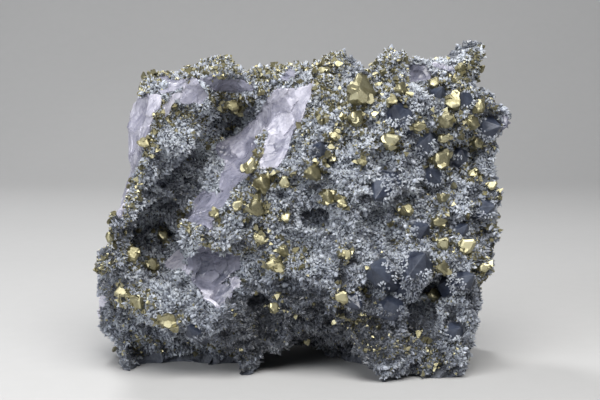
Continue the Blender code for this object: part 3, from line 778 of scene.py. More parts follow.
# %% Druse points
druse, tree, shader = new_material(
    "druse_quartz", Roughness=0.3, IOR=1.544, Transmission_Weight=0.2, Subsurface_Weight=0.4,
    Subsurface_Radius=(0.0010, 0.0010, 0.0012), Subsurface_Scale=1.0)
tint = stored(tree, "tint")
spot_haze = place_group(tree, cloud, Slow_Scale=500.0, Fine_Scale=2600.0, Fine_Share=0.5)
# Tints below zero carry the painted shade of the hollows, pits and underside, which goes towards
# near black.
shadowed = blend_colours(tree, ramp(tree, tint, -0.6, 0.15), (0.045, 0.05, 0.06, 1),
                         (0.24, 0.262, 0.31, 1))
clear = blend_colours(tree, ramp(tree, tint, 0.0, 1.0), shadowed, (0.54, 0.58, 0.65, 1))
# Painted shade: each point is darkened towards its foot, where the crowded points shade one
# another.
clear = blend_colours(tree, ramp(tree, stored(tree, "reach"), -0.1, 0.5),
                      (0.08, 0.088, 0.105, 1), clear)
hazy = times(tree, ramp(tree, spot_haze.outputs["Cloud"], 0.5, 0.8), 0.5)
clear = blend_colours(tree, hazy, clear, (0.46, 0.49, 0.55, 1))
connect(tree, shader, clear, ramp(tree, spot_haze.outputs["Cloud"], -0.3, 1.5))
print("quartz finishes ready")

# %% Finish the quartz body
body = add_piece("quartz_body", skin_mesh, crust_ground_painted_shade)
body.data.materials.append(broken_quartz)
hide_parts(ROCK)
bare_corners = np.array([sum(bare[index] for index in face.vertices)
                         for face in skin_mesh.polygons])
skin_mesh.polygons.foreach_set("material_index", (bare_corners > 1.5).astype(np.int32))
skin_mesh.shade_smooth()
skin_mesh.set_sharp_from_angle(angle=math.radians(26))
print("quartz body has", len(skin_mesh.polygons), "triangles")

# %% [markdown]
# ## Finish of the chalcopyrite
# Chalcopyrite is a metal-like mineral, brass yellow with a greenish cast, that dulls
# to olive where it tarnishes. The shader is fully metallic. Tarnish changes its colour
# and roughness, and growth lines streak its faces. On the large crystals the lines follow
# each crystal's own axes, which its mesh stores as a vector for every vertex.

# %% Brass finish
BRASS_BRIGHT = (0.375, 0.352, 0.232, 1)
BRASS_PLAIN = (0.30, 0.278, 0.172, 1)
BRASS_OLIVE = (0.17, 0.153, 0.083, 1)


def brass_material(name, line_scale, line_height, crystal_places):
    """A brass finish; its growth lines can follow the places that a mesh stores."""
    material, tree, shader = new_material(name, Metallic=1.0, Roughness=0.3)
    bloom = place_group(tree, cloud, Slow_Scale=240.0, Fine_Scale=1600.0, Fine_Share=0.35)
    colour = blend_colours(tree, stored(tree, "tint"), BRASS_PLAIN, BRASS_BRIGHT)
    tarnish = ramp(tree, bloom.outputs["Cloud"], 0.46, 0.62)
    colour = blend_colours(tree, times(tree, tarnish, 0.75), colour, BRASS_OLIVE)
    connect(tree, shader, colour, plus(tree, times(tree, tarnish, 0.1), 0.45))
    places = stored(tree, "along", "Vector") if crystal_places else object_places(tree)
    add_bump(tree, shader, growth_lines(tree, places, line_scale, 0.06), line_height, 0.8)
    return material


brass = brass_material("chalcopyrite_faces", 1700.0, 0.00004, True)
brass_grain = brass_material("chalcopyrite_grains", 2600.0, 0.00004, False)

# %% [markdown]
# ## The large chalcopyrite crystals
# The solids are plain wedges. Real ones grow in steps, and smaller crystals stick to
# their corners. So each copy has its flat faces merged back into one face each, a
# raised step on every large face, and its edges bevelled. Then a few smaller copies
# are set on its corners, turned at random, as intergrown twins.

# %% Helpers for crystals
draw = np.random.default_rng(11)     # every chance in this script is drawn from here, in order


def wear_edges(shape, offset, segments):
    """Bevels all edges a little, as no real crystal's edge is perfectly sharp."""
    bmesh.ops.bevel(shape, geom=shape.edges, offset=offset, offset_type="OFFSET",
                    affect="EDGES", segments=segments, profile=0.5, material=-1)
    bmesh.ops.triangulate(shape, faces=shape.faces)


def worn_mesh(shape, size, turn):
    """A mesh with slightly worn edges, and its places along the crystal's own axes."""
    wear_edges(shape, 0.012 * size, 1)
    mesh = finished(in_steady_order(shape), "worn")
    axes = mesh.attributes.new("along", "FLOAT_VECTOR", "POINT")
    own = np.array([turn @ vertex.co for vertex in mesh.vertices], np.float32)
    axes.data.foreach_set("vector", own.ravel())
    return mesh


def random_turn():
    """A turn by a random angle about a random axis."""
    axis = Vector(draw.normal(size=3)).normalized()
    return Matrix.Rotation(draw.uniform(0, 2 * math.pi), 4, axis)


# %% Dress each chalcopyrite crystal
TWINS = (5, 10)                      # at least, and fewer than
TWIN_SHARE = (0.22, 0.56)            # a twin's size against the crystal it sits on
TWIN_SEAT = (0.55, 1.0)              # where it sits between the middle and a corner
GROWN = 1.1                          # a little proud of its solid, so that it clears the crust
STEPS = ((0.08, 0.03), (0.11, 0.028))  # how far in each growth step lies, and its height
STEPPED_FACE = 0.1                   # least area of a face with steps, against size squared


def dressed_crystal(node):
    """The mesh of one crystal with its steps and twins."""
    shape = merged_copy(node)
    corners = [vertex.co.copy() for vertex in shape.verts]
    middle = sum(corners, Vector()) / len(corners)
    spread = Matrix.Translation(middle) @ Matrix.Scale(GROWN, 4) @ Matrix.Translation(-middle)
    bmesh.ops.transform(shape, matrix=spread, verts=shape.verts)
    size = max(max(along) - min(along) for along in zip(*corners))
    bmesh.ops.dissolve_limit(shape, angle_limit=math.radians(3), verts=shape.verts,
                             edges=shape.edges)
    turn = random_turn()
    single = worn_mesh(shape.copy(), size, turn)
    large = [face for face in shape.faces if face.calc_area() > STEPPED_FACE * size * size]
    for inset, rise in STEPS:
        bmesh.ops.inset_individual(shape, faces=large, thickness=inset * size, depth=rise * size)
    cluster = bmesh.new()
    join(cluster, worn_mesh(shape, size, turn))
    for _twin in range(int(draw.integers(*TWINS))):
        corner = corners[int(draw.integers(len(corners)))]
        seat = middle.lerp(corner, draw.uniform(*TWIN_SEAT))
        twin = single.copy()
        twin.transform(Matrix.Translation(seat) @ random_turn()
                       @ Matrix.Scale(draw.uniform(*TWIN_SHARE), 4) @ Matrix.Translation(-middle))
        join(cluster, twin)
    bpy.data.meshes.remove(single)
    return finished(cluster, node)


triangles = 0
for node in brassy_nodes:
    mesh = dressed_crystal(node)
    set_value(mesh, "tint", np.full(len(mesh.vertices), draw.uniform(0.2, 1.0)))
    piece = add_piece(node.replace("chalcopyrite", "brassy"), mesh, brass)
    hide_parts(node)
    triangles += len(mesh.polygons)
print(len(brassy_nodes), "chalcopyrite crystals,", triangles, "triangles")

# %% [markdown]
# ## The large quartz crystals
# The solid rock has the large clear crystals fused to it, with exact flat faces. Each
# is found again by looking along the sight line to it: the faces near that place whose
# normals suit a six-sided point on the crystal's known axis are its own. They give the
# place of its tip and its turn, and a pointed prism with crisp edges is set there, which
# runs a little way back into the rock.

# %% Find each crystal's faces in the solid
LARGE_QUARTZ = (                     # (across, down), width, lean right, lean up
    ((396, 112), 7.0, -20, 30), ((426, 140), 6.0, 15, 35), ((378, 194), 6.2, -25, -20),
    ((422, 229), 5.0, 30, 25), ((418, 263), 8.6, 20, 40), ((376, 272), 7.0, -30, 20),
    ((388, 306), 7.0, -15, 30), ((466, 279), 5.6, 35, 25), ((458, 154), 5.0, 10, 30),
    ((492, 128), 6.0, 35, 10), ((462, 229), 4.4, 30, 35), ((462, 98), 4.4, -20, 35),
    ((355, 305), 4.6, 25, -20), ((455, 331), 5.0, 20, 25), ((437, 64), 5.0, -10, 45),
    ((464, 186), 4.6, 25, -25), ((430, 175), 5.6, -15, 20), ((488, 208), 4.6, 30, 15),
    ((330, 60), 4.6, -10, 55), ((394, 58), 4.8, 5, 50), ((480, 50), 4.6, 25, 45),
    ((503, 124), 6.4, 55, 5), ((190, 330), 4.4, -20, 25), ((318, 148), 4.0, 15, 30),
    ((425, 190), 4.4, 10, -10), ((290, 76), 4.6, -10, 50), ((438, 92), 4.2, 20, 40),
)
POINT_RISE = 0.62                    # height of a crystal's point against its width
HALF_FLAT = math.cos(math.pi / 6) / 2         # from the axis to a side, against the width
POINT_SLOPE = math.cos(math.atan(POINT_RISE / HALF_FLAT))    # a point's face against its axis
SLOPE_SLACK = 0.02                   # how closely a face has to match one of the two slopes
TURN_SLACK = math.radians(3)         # and the six turns about the axis
WEAKEST_FIT = 0.12                   # below this the faces leave the tip's place open
SHIFT_RIGHT = 2.6                    # the solids were centred after the spots were named

rock_shape = merged_copy(ROCK)
rock_tree = BVHTree.FromBMesh(rock_shape)


def crystal_frame(lean_right, lean_up):
    """Directions of a crystal that points out of the display face, its axis the third."""
    turn = (Matrix.Rotation(math.radians(lean_right), 3, "Z")
            @ Matrix.Rotation(math.radians(-lean_up), 3, "X"))
    axis = turn @ Vector((0, -1, 0))
    first = axis.orthogonal().normalized()
    return first, axis.cross(first), axis


def fit_crystal(spot, width, directions):
    """The tip and the turn of the crystal seen at a spot, or None.

    Each of its flat faces gives one equation: the face's plane passes through the tip,
    or beside it at half the crystal's thickness where the face is a side.
    """
    first, second, axis = directions
    seen_spot = (spot[0] + SHIFT_RIGHT, spot[1])
    place, _normal, _face, _distance = rock_tree.ray_cast(eye, sight_line(seen_spot))
    if place is None:
        return None
    found = []
    for face in rock_shape.faces:
        centre = face.calc_center_median()
        slope = face.normal.dot(axis)
        is_point, is_side = abs(slope - POINT_SLOPE) < SLOPE_SLACK, abs(slope) < SLOPE_SLACK
        if (centre - place).length < width * MM and (is_point or is_side):
            bearing = math.atan2(face.normal.dot(second), face.normal.dot(first))
            beside = HALF_FLAT * width * MM if is_side else 0
            found.append((face.normal[:], face.normal.dot(centre) - beside, bearing,
                          face.calc_area()))
    if not found:
        return None
    normals, targets, bearings, areas = (np.array(column) for column in zip(*found))
    turn = np.angle(np.sum(areas * np.exp(6j * bearings))) / 6
    own = np.abs(np.angle(np.exp(6j * (bearings - turn)))) / 6 < TURN_SLACK
    weights = np.sqrt(areas[own])
    tip, _rest, rank, strengths = np.linalg.lstsq(
        normals[own] * weights[:, None], targets[own] * weights, rcond=None)
    if rank < 3 or strengths[-1] < WEAKEST_FIT * strengths[0]:
        return None
    return Vector(tip), turn


# %% Rebuild the crystals
ROOT = 2.5                           # how far a crystal runs back into the rock
OVERGROWN = ((330, 60), (394, 58), (480, 50), (503, 124), (437, 64), (290, 76))
TURNED = {(378, 194): 24, (466, 279): 20}   # degrees, so that no face mirrors a lamp
SPREAD = 1.2                         # how much wider than its solid, about its tip


def crisp_crystal(tip, turn, width, directions):
    """A six-sided prism with a pointed end and slightly worn edges."""
    shape = bmesh.new()
    shank = (1.5 - POINT_RISE) * width + ROOT
    bmesh.ops.create_cone(shape, cap_ends=True, segments=6, radius1=width / 2,
                          radius2=width / 2, depth=shank)
    top = max(shape.faces, key=lambda face: face.calc_center_median().z)
    peak = bmesh.ops.poke(shape, faces=[top])["verts"][0]
    peak.co.z += POINT_RISE * width
    bmesh.ops.translate(shape, verts=shape.verts, vec=(0, 0, -peak.co.z))
    wear_edges(shape, 0.018 * width, 2)
    aim = Matrix(directions).transposed().to_4x4()
    matrix = Matrix.Translation(tip) @ aim @ Matrix.Rotation(turn, 4, "Z") @ Matrix.Scale(MM, 4)
    bmesh.ops.transform(shape, matrix=matrix, verts=shape.verts)
    return in_steady_order(shape)


crisp = []
joined = bmesh.new()
for spot, width, lean_right, lean_up in LARGE_QUARTZ:
    directions = crystal_frame(lean_right, lean_up)
    fitted = fit_crystal(spot, width, directions)
    if spot in OVERGROWN or fitted is None:
        print("left to the druse:", spot)
        continue
    tip, turn = fitted
    turn += math.radians(TURNED.get(spot, 0))
    shape = crisp_crystal(tip, turn, width * SPREAD, directions)
    crisp.append((tip, directions[2], width * SPREAD, BVHTree.FromBMesh(shape)))
    join(joined, finished(shape, "crisp"))
large_quartz_mesh = finished(joined, "large_quartz_crystals")
rock_shape.free()
add_piece("large_quartz_crystals", large_quartz_mesh, dark_quartz)
print(len(crisp), "large crystals,", len(large_quartz_mesh.polygons), "triangles")

# %% [markdown]
# ## Growing the druse
# The crust has about a hundred thousand quartz points a millimetre or so across. Each is
# a copy of a small template: a spike with its foot in the rock, or a six-sided crystal
# that is pointed at both ends. All templates are closed, as solid things are. Numpy
# places all the copies at once and writes them into a few meshes, which is thousands of
# times quicker than one object each.

# %% Templates
SPIKE_SUNK = 0.3                     # share of a spike that is under the surface


def pointed_template(shank, tip):
    """A six-sided crystal of width 1 about the origin, along +Z, pointed at both ends."""
    shape = bmesh.new()
    bmesh.ops.create_cone(shape, cap_ends=True, segments=6, radius1=0.5, radius2=0.5,
                          depth=shank)
    ends = [face for face in shape.faces if len(face.verts) == 6]
    for centre in bmesh.ops.poke(shape, faces=ends)["verts"]:
        centre.co.z += math.copysign(tip, centre.co.z)
    bmesh.ops.triangulate(shape, faces=shape.faces)
    bmesh.ops.recalc_face_normals(shape, faces=shape.faces)
    return shape


def grain_template(corner_cut):
    """A four-faced wedge with its corners cut off, about 1 across."""
    shape = bmesh.new()
    bmesh.ops.create_cone(shape, cap_ends=True, segments=3, radius1=0.8, radius2=0, depth=1.1)
    bmesh.ops.translate(shape, verts=shape.verts, vec=(0, 0, 0.17))
    if corner_cut:
        for corner in [vertex.co.normalized() for vertex in shape.verts]:
            cut = bmesh.ops.bisect_plane(
                shape, geom=shape.verts[:] + shape.edges[:] + shape.faces[:],
                plane_co=corner * corner_cut, plane_no=corner, clear_outer=True)
            rim = [part for part in cut["geom_cut"] if isinstance(part, bmesh.types.BMEdge)]
            bmesh.ops.contextual_create(shape, geom=rim)
    bmesh.ops.triangulate(shape, faces=shape.faces)
    bmesh.ops.recalc_face_normals(shape, faces=shape.faces)
    return shape


def template_arrays(shape):
    """A template's corners and its triangles' indices."""
    corners = np.array([vertex.co for vertex in shape.verts])
    faces = np.array([[vertex.index for vertex in face.verts] for face in shape.faces])
    shape.free()
    return corners, faces


def spike_template(sides):
    """A spike of width 1 and height 1, closed below, its foot under the origin."""
    shape = bmesh.new()
    bmesh.ops.create_cone(shape, cap_ends=True, segments=sides, radius1=0.5, radius2=0, depth=1)
    bmesh.ops.translate(shape, verts=shape.verts, vec=(0, 0, 0.5 - SPIKE_SUNK))
    bmesh.ops.triangulate(shape, faces=shape.faces)
    return shape


STUBBY = template_arrays(spike_template(6))
SPLINTER = template_arrays(spike_template(3))
PRISM = template_arrays(pointed_template(0.75, 0.62))
GRAIN = template_arrays(grain_template(0.55))
CHIP = template_arrays(grain_template(0))
for name, template in (("stubby", STUBBY), ("splinter", SPLINTER), ("prism", PRISM),
                       ("grain", GRAIN), ("chip", CHIP)):
    print(name, len(template[1]), "triangles")


# %% Copy a template to many places
CLEAR_OF_FLOOR = 0.00002             # metres, so that only the body itself touches the floor


def copies_mesh(name, template, places, axes, sizes, tints):
    """One mesh of turned, scaled copies. sizes is (across, across, along) for each."""
    corners, faces = template
    count = len(places)
    axes = axes / np.linalg.norm(axes, axis=1)[:, None]
    helper = np.where(np.abs(axes[:, 2:]) < 0.9, (0.0, 0.0, 1.0), (1.0, 0.0, 0.0))
    side = np.cross(axes, helper)
    side /= np.linalg.norm(side, axis=1)[:, None]
    third = np.cross(axes, side)
    spin = draw.uniform(0, 2 * math.pi, count)[:, None]
    first = side * np.cos(spin) + third * np.sin(spin)
    second = third * np.cos(spin) - side * np.sin(spin)
    scaled = corners[None] * sizes[:, None, :]
    world = (places[:, None] + scaled[..., :1] * first[:, None]
             + scaled[..., 1:2] * second[:, None] + scaled[..., 2:] * axes[:, None])
    low_corner, high_corner = (np.array(corner) for corner in solids_box)
    world = np.clip(world, low_corner + (0, 0, CLEAR_OF_FLOOR), high_corner)
    mesh = bpy.data.meshes.new(name)
    mesh.vertices.add(count * len(corners))
    mesh.vertices.foreach_set("co", world.ravel())
    indices = (faces[None] + np.arange(count)[:, None, None] * len(corners)).ravel()
    mesh.loops.add(len(indices))
    mesh.loops.foreach_set("vertex_index", indices.astype(np.int32))
    mesh.polygons.add(len(indices) // 3)
    mesh.polygons.foreach_set("loop_start", np.arange(0, len(indices), 3, dtype=np.int32))
    mesh.update(calc_edges=True)
    mesh.shade_flat()
    # From 0 at a copy's foot to 1 at its tip; the druse finish uses it to paint shade at the
    # feet.
    reach = np.tile((corners[:, 2] - corners[:, 2].min()) / np.ptp(corners[:, 2]), count)
    set_value(mesh, "tint", np.repeat(tints, len(corners)))
    set_value(mesh, "reach", reach)
    return mesh


# %% Scatter places over a mesh
BARE_BAND = 0.9                      # mm above the floor in which nothing grows


class Ground:
    """A triangle mesh as arrays, to scatter things on."""

    def __init__(self, mesh):
        corners = np.empty(len(mesh.polygons) * 3, np.int32)
        mesh.polygons.foreach_get("vertices", corners)
        self.corners = corners.reshape(-1, 3)
        places, normals = read_points(mesh)
        self.triangles = places[self.corners]
        self.normals = normals[self.corners]
        sides = self.triangles[:, 1:] - self.triangles[:, :1]
        self.areas = np.linalg.norm(np.cross(sides[:, 0], sides[:, 1]), axis=1) / 2
        self.middles = self.triangles.mean(axis=1)
        self.low = self.triangles[:, :, 2].min(axis=1) < BARE_BAND * MM


def scatter(ground, count, cell, weights):
    """Random places and normals, at most one in each cell of a grid (cell in mm)."""
    chance = np.cumsum(ground.areas * weights)
    picked = np.searchsorted(chance, draw.uniform(0, chance[-1], count))
    picked = np.minimum(picked, len(chance) - 1)
    one, two = np.sqrt(draw.uniform(0, 1, count)), draw.uniform(0, 1, count)
    shares = np.stack((1 - one, one * (1 - two), one * two), axis=1)
    places = np.einsum("nk,nkc->nc", shares, ground.triangles[picked])
    normals = np.einsum("nk,nkc->nc", shares, ground.normals[picked])
    normals /= np.linalg.norm(normals, axis=1)[:, None]
    cells = np.floor(places / (cell * MM)).astype(np.int64)
    own_number = cells @ np.array((1, 4001, 4001 ** 2))
    _unique, first = np.unique(own_number, return_index=True)
    first.sort()
    return places[first], normals[first]


def outside_crystals(places, margin):
    """True for places that are further than a margin in mm outside every large crystal."""
    free = np.ones(len(places), bool)
    for middle, reach, tree in standing_crystals:
        away = np.linalg.norm(places - np.array(middle), axis=1)
        for index in np.flatnonzero(away < (reach + margin) * MM):
            place = Vector(places[index])
            spot, normal, _face, _distance = tree.find_nearest(place)
            free[index] &= (place - spot).dot(normal) > margin * MM
    return free


standing_crystals = [(tip - axis * width * 0.6 * MM, width * 1.1, tree)
                     for tip, axis, width, tree in crisp]
for node in brassy_nodes:
    shape = merged_copy(node)
    middle = middle_of(shape)
    reach = max((vertex.co - middle).length for vertex in shape.verts) / MM
    standing_crystals.append((middle, reach, BVHTree.FromBMesh(shape)))
    shape.free()
skin_ground = Ground(skin_mesh)
face_bare = bare[skin_ground.corners].mean(axis=1)
print("ground of", len(skin_ground.areas), "triangles")

# %% [markdown]
# ## Where the druse grows, and how
# On the display face the druse grows everywhere but on the bare breaks and the large
# crystals' faces. Elsewhere it grows in patches. Its points stand roughly square to
# the rock, in clusters that lean together, so each point's axis is the surface normal
# turned by a smooth field and then a little more at random. A table of paths paints
# shade into the druse of the hollows and low on the block, and paints light on it where
# an amount is negative.

# %% How the druse leans, and its painted shade and light
# Painted shade: each path darkens the druse near it, where shade falls in hollows and under the
# block; a negative amount paints light instead.
PAINTED_SHADE_AND_LIGHT = (                           # path on the sheet, reach in mm, how much darker
    (((238, 112), (205, 165), (160, 215), (146, 250)), 6.0, 0.15),
    (((310, 206), (330, 228)), 4.5, 0.25),
    (((298, 288), (315, 303)), 4.0, 0.35),
    (((420, 292), (420, 318)), 3.5, 0.35),
    (((128, 288), (130, 294)), 2.5, 0.35),
    (((255, 330), (300, 335), (350, 345)), 11.0, 1.3),
    (((110, 350), (250, 350)), 8.0, 0.25),
    (((385, 330), (440, 362)), 9.0, 0.6),
    (((195, 300), (250, 320)), 6.0, 0.25),
    (((112, 225), (100, 262), (96, 310)), 6.0, 0.6),
    (((492, 190), (492, 235), (482, 310)), 6.0, 0.3),
    (((465, 345),), 5.0, -0.45),
    (((140, 120), (215, 130)), 5.0, -0.45),
    (((185, 142), (207, 150)), 4.0, -0.6),
    (((187, 165), (176, 200)), 3.0, 0.15),
    (((325, 95), (380, 120)), 9.0, -0.45),
    (((425, 62), (455, 62), (480, 44)), 6.0, -0.7),
    (((265, 285), (300, 300), (345, 288)), 7.0, 0.22),
)


def leaning(places, normals, cluster, loose):
    """Axes that follow the normals, lean in clusters and vary at random."""
    lean = np.array([noise.noise_vector(place / (3.2 * MM)) for place in map(Vector, places)])
    axes = normals + lean * cluster + draw.normal(size=places.shape) * loose
    return axes / np.linalg.norm(axes, axis=1)[:, None]


def druse_tints_with_painted_shade(places):
    """Drifts of tone, painted light on crests, painted shade in pits, the painted shade and light
    above, and a spread.
    """
    # The ridges term paints light on the lumps' crests, and the pits term paints shade in the
    # pits between them.
    drift = (0.60 + 0.28 * field(places, 9, 5.5) + 0.25 * field(places, 2.6, 7.7)
             + 0.4 * (np.clip(ridges(places, 5.2, 1.7), 0, 1) - 0.5) - 0.8 * pitted(places))
    seen = on_sheet(places)
    # Painted shade from the table, or painted light where an amount is negative.
    for path, reach, amount in PAINTED_SHADE_AND_LIGHT:
        near = soft_step(1.4 - path_distance(seen, path) / reach)
        drift -= amount * near * ((places[:, 1] < druse_limit(places)) | (amount < 0))
    return np.clip(drift + draw.normal(size=len(places)) * 0.17, -0.6, 1)


# %% Grow the druse
TRIANGLES_IN_PIECE = 190000
CRYSTAL_MARGIN = 0.55                # mm between the druse's places and the large crystals


def grow(name, template, grown, widths, stretch, cluster, loose, standing):
    """Adds one kind of point at the grown places and normals, as a few pieces.

    widths and stretch are ranges of the width in mm and of the height against it,
    cluster and loose are the shares of the two leans, and standing is how far a point's
    origin stands off the ground, against its width.
    """
    places, normals = grown
    order = np.argsort(places[:, 0], kind="stable")
    places, normals = places[order], normals[order]
    axes = leaning(places, normals, cluster, loose)
    width = draw.uniform(*widths, len(places)) * MM
    sizes = np.stack((width * draw.uniform(0.8, 1.2, len(places)), width,
                      width * draw.uniform(*stretch, len(places))), axis=1)
    places = places + axes * (width * standing)[:, None]
    tints = druse_tints_with_painted_shade(places)
    parts = math.ceil(len(places) * len(template[1]) / TRIANGLES_IN_PIECE)
    for part, chosen in enumerate(np.array_split(np.arange(len(places)), parts)):
        label = name + "_" + "abcdefgh"[part]
        mesh = copies_mesh(label, template, places[chosen], axes[chosen], sizes[chosen],
                           tints[chosen])
        add_piece(label, mesh, druse)
    print(name, len(places), "points in", parts, "pieces")


def beside_crystals(count, cell, weights):
    """Places on the skin that no large crystal covers."""
    places, normals = scatter(skin_ground, count, cell, weights)
    free = outside_crystals(places, CRYSTAL_MARGIN)
    return places[free], normals[free]


crusted = (1 - soft_step((face_bare - 0.35) * 3)) * ~skin_ground.low
on_display = crusted * (skin_ground.middles[:, 1] < druse_limit(skin_ground.middles))
elsewhere = crusted - on_display
DRUSE = (        # name, template, tries, cell in mm, where, then the last five inputs of grow
    ("druse_front", STUBBY, 180000, 0.92, on_display, (0.70, 1.32), (0.9, 1.5), 0.5, 0.38, 0.05),
    ("druse_fine", SPLINTER, 200000, 0.79, on_display, (0.5, 0.95), (1.0, 1.8), 0.5, 0.6, 0.15),
    ("druse_prisms", PRISM, 4000, 3.3, on_display, (0.7, 1.2), (0.9, 1.5), 0.5, 0.30, 0.25),
    ("druse_round", STUBBY, 50000, 1.15, elsewhere, (0.8, 1.5), (1.1, 2.0), 0.5, 0.32, 0.05),
    ("quartz_points", PRISM, 200, 3.0, crusted, (1.0, 1.6), (1.0, 1.5), 0.3, 0.35, 0.0),
)
for name, template, tries, cell, where, *manner in DRUSE:
    grow(name, template, beside_crystals(tries, cell, where), *manner)

# %% [markdown]
# ## Druse on the large crystals
# The large faces are never quite clean: druse creeps over them from the edges in
# ragged patches. A noise chooses the patches, and the face near each tip stays free.

# %% Let druse creep over the large crystals
CLEAN_TIP, RAGGED = 0.66, 0.7        # from the tip, against the width, and how it strays
CRUSTED_TO = 1.3                     # beyond this the crystal lies in the rock


def overgrowth(count, cell):
    """Places in ragged patches on the large crystals, away from their tips."""
    middles = crystal_ground.middles
    from_tip = np.full(len(middles), np.inf)
    for tip, _axis, width, _tree in crisp:
        away = np.linalg.norm(middles - np.array(tip), axis=1) / (width * MM)
        from_tip = np.minimum(from_tip, away)
    ragged = field(middles, 2.6, 15.5)
    weights = soft_step((from_tip - CLEAN_TIP + ragged * RAGGED) * 14) * (from_tip < CRUSTED_TO)
    return scatter(crystal_ground, count, cell, weights)


# The crystals' faces are large, so they are cut small before places are drawn on them.
fine_shape = bmesh.new()
fine_shape.from_mesh(large_quartz_mesh)
bmesh.ops.subdivide_edges(fine_shape, cuts=5, use_grid_fill=True,
                          edges=[edge for edge in fine_shape.edges if edge.calc_length() > MM])
bmesh.ops.triangulate(fine_shape, faces=fine_shape.faces)
fine_mesh = finished(fine_shape, "fine_crystals")
crystal_ground = Ground(fine_mesh)
bpy.data.meshes.remove(fine_mesh)
grow("druse_creeping", STUBBY, overgrowth(14000, 0.72), (0.6, 1.1), (0.9, 1.5), 0.4, 0.34, 0.0)

# %% [markdown]
# ## Chalcopyrite grains
# Tens of thousands of grains make the crust glitter. They crowd on the top rim, on the
# left edge, on the knobs and around the pockets, and are sparse elsewhere. Each rich
# area is a path on the sheet with a reach and a richness, and a noise breaks it up.

# %% Places rich in chalcopyrite
RICH_AREAS = (                       # path on the sheet, reach in mm, richness
    (((150, 76), (200, 62), (240, 68), (300, 60), (335, 54)), 4.2, 1.5),
    (((215, 96), (236, 104), (252, 82), (290, 82)), 3.0, 1.5),
    (((335, 54), (330, 62)), 4.0, 1.1),
    (((393, 50), (390, 70), (372, 78)), 4.0, 1.2),
    (((478, 44), (484, 62), (470, 76)), 3.8, 1.5),
    (((157, 118), (147, 138), (142, 150), (134, 175), (125, 205), (119, 220),
      (100, 262)), 2.4, 1.9),
    (((118, 250), (135, 258)), 3.5, 0.5),
    (((120, 292), (142, 302)), 3.5, 0.6),
    (((264, 130), (250, 168)), 2.2, 1.3),
    (((190, 218), (200, 226)), 3.2, 1.7),
    (((220, 205), (245, 200), (262, 212)), 3.4, 0.6),
    (((205, 240), (250, 244)), 2.6, 0.5),
    (((316, 92), (310, 112), (300, 126), (292, 150)), 2.4, 1.5),
    (((322, 88), (335, 118), (322, 150)), 5.0, 1.0),
    (((345, 120), (360, 150)), 4.0, 0.3),
    (((445, 80), (480, 120), (470, 150)), 5.0, 0.55),
    (((404, 232), (470, 246)), 4.0, 0.4),
    (((440, 195), (480, 210), (492, 230)), 4.0, 0.45),
    (((350, 300), (380, 340)), 5.0, 0.65),
    (((385, 335), (430, 355)), 5.0, 0.5),
    (((480, 240), (486, 290)), 3.0, 0.5),
    (((456, 340), (448, 352)), 2.5, 0.5),
    (((130, 345), (240, 362)), 3.0, 0.3),
    (((270, 262), (300, 256)), 3.5, 0.4),
    (((150, 112), (185, 120)), 4.0, 0.9),
    (((150, 105), (215, 130)), 5.0, 0.35),
)
EVERYWHERE, BESIDE_LARGE = 0.03, 0.4          # richness elsewhere, and by the large crystals
print(len(RICH_AREAS), "rich areas")


# %% How rich each place is
def near_large(places):
    """1 beside a large chalcopyrite crystal, falling to 0 a little way off."""
    near = np.zeros(len(places))
    for middle, reach, _tree in standing_crystals[len(crisp):]:
        away = np.linalg.norm(places - np.array(middle), axis=1) / MM
        near = np.maximum(near, soft_step(1.7 - away / (reach + 1)))
    return near


def richness(places):
    """How crowded chalcopyrite grains are at each place, from 0 to 1."""
    seen = on_sheet(places)
    rich = np.maximum(EVERYWHERE, BESIDE_LARGE * near_large(places))
    for path, reach, amount in RICH_AREAS:
        near = soft_step(1.5 - path_distance(seen, path) / reach)
        rich = np.maximum(rich, amount * near * (places[:, 1] < druse_limit(places)))
    drift = 0.55 + 1.5 * field(places, 5.0, 12.5) + 0.7 * field(places, 1.9, 3.9)
    return rich * np.clip(drift, 0.05, 1.6)


# %% Strew the grains
face_rich = richness(skin_ground.middles) * crusted


def strew(name, template, count, cell, widths, weights):
    """Adds one kind of grain; most are near the smaller of the two widths in mm."""
    places, normals = scatter(skin_ground, count, cell, weights)
    free = outside_crystals(places, 0.0)
    places, normals = places[free], normals[free]
    width = draw.uniform(0, 1, len(places)) ** 1.6 * (widths[1] - widths[0]) + widths[0]
    sizes = width[:, None] * draw.uniform(0.6, 1.25, (len(places), 3)) * MM
    axes = normals + draw.normal(size=places.shape) * 0.7
    places = places + normals * (0.35 + 0.25 * width)[:, None] * MM
    mesh = copies_mesh(name, template, places, axes, sizes, draw.uniform(0, 1, len(places)))
    add_piece(name, mesh, brass_grain)
    print(name, len(places), "grains")


strew("brassy_dust", CHIP, 25000, 0.38, (0.25, 0.55), face_rich)
strew("brassy_specks", CHIP, 15000, 0.62, (0.35, 0.8), face_rich)
strew("brassy_grains", GRAIN, 2500, 1.5, (0.8, 2.1), face_rich)
strew("brassy_clusters", CHIP, 1500, 0.9, (0.6, 1.5),
      near_large(skin_ground.middles) * crusted)

# %% [markdown]
# ## Studio
# A pale sheet runs under the specimen and up behind it without a corner. A large soft
# lamp above on the right is the main light, a weaker one on the left fills the
# shadows, and a small one behind picks out the rim.

# %% Sheet, lamps and sky
FLOOR_HALF = 4.0
WALL_BEHIND = 0.55
SWEEP = 0.4                          # radius of the curve between them
WALL_RISE = 1.4


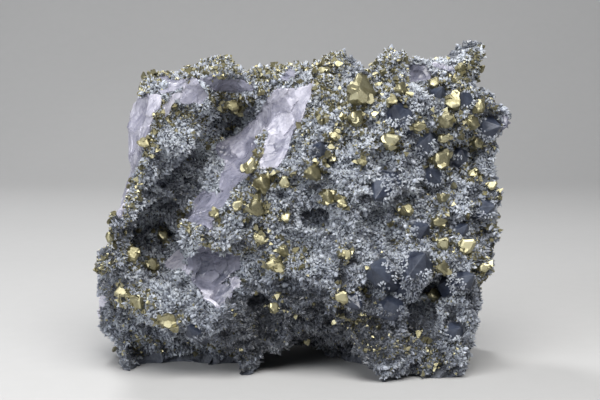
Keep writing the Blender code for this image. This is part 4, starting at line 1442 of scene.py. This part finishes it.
def studio_sheet():
    """A floor that curves up into a wall, made by spinning and extruding one edge."""
    shape = bmesh.new()
    bmesh.ops.create_grid(shape, x_segments=1, y_segments=1, size=FLOOR_HALF)
    back = [edge for edge in shape.edges if all(v.co.y > FLOOR_HALF - 0.01 for v in edge.verts)]
    bmesh.ops.translate(shape, verts=back[0].verts, vec=(0, WALL_BEHIND - FLOOR_HALF, 0))
    turned = bmesh.ops.spin(shape, geom=back, cent=(0, WALL_BEHIND, SWEEP), axis=(1, 0, 0),
                            dvec=(0, 0, 0), angle=math.pi / 2, steps=16, use_duplicate=False)
    rim = [part for part in turned["geom_last"] if isinstance(part, bmesh.types.BMEdge)]
    raised = bmesh.ops.extrude_edge_only(shape, edges=rim)["geom"]
    top = [part for part in raised if isinstance(part, bmesh.types.BMVert)]
    bmesh.ops.translate(shape, verts=top, vec=(0, 0, WALL_RISE))
    bmesh.ops.recalc_face_normals(shape, faces=shape.faces)
    mesh = finished(shape, "studio_sheet")
    mesh.shade_smooth()
    return mesh


paper, tree, shader = new_material("pale_paper", Roughness=0.85)
fibre = place_group(tree, cloud, Slow_Scale=3.0, Fine_Scale=160.0, Fine_Share=0.3)
paper_grey = blend_colours(tree, fibre.outputs["Cloud"], (0.40, 0.40, 0.40, 1),
                           (0.46, 0.46, 0.46, 1))
tree.links.new(paper_grey, shader.inputs["Base Color"])
floor_sheet = add_object("studio_sheet", studio_sheet())
floor_sheet.data.materials.append(paper)
floor_sheet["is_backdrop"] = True


def add_lamp(name, place, size, power, colour):
    """A round soft lamp that shines at the specimen."""
    lamp = bpy.data.lights.new(name, "AREA")
    lamp.shape = "DISK"
    lamp.size = size
    lamp.energy = power
    lamp.color = colour
    thing = add_object(name, lamp)
    thing.location = place
    thing.rotation_euler = (TARGET - Vector(place)).to_track_quat("-Z", "Y").to_euler()


add_lamp("key", (0.07, -0.47, 0.66), 0.62, 10.0, (1.0, 0.985, 0.96))
add_lamp("fill", (-0.48, -0.60, 0.30), 0.45, 4.0, (0.95, 0.97, 1.0))
add_lamp("rim", (-0.25, 0.40, 0.65), 0.20, 3.0, (1.0, 1.0, 1.0))
world = bpy.data.worlds.new("soft_sky")
world.use_nodes = True
world.node_tree.nodes["Background"].inputs["Color"].default_value = (0.8, 0.85, 0.95, 1)
world.node_tree.nodes["Background"].inputs["Strength"].default_value = 0.16
bpy.context.scene.world = world
bpy.context.scene.view_settings.view_transform = "Standard"
print("studio ready")

# %% [markdown]
# ## The size of the dressed specimen
# The dressed specimen should be as large as its solids and no larger, so both boxes are
# printed.

# %% Print the sizes
dressed_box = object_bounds()
for label, corners in (("solids", solids_box), ("dressed", dressed_box)):
    print(label, [[round(value / MM, 2) for value in corner] for corner in corners])
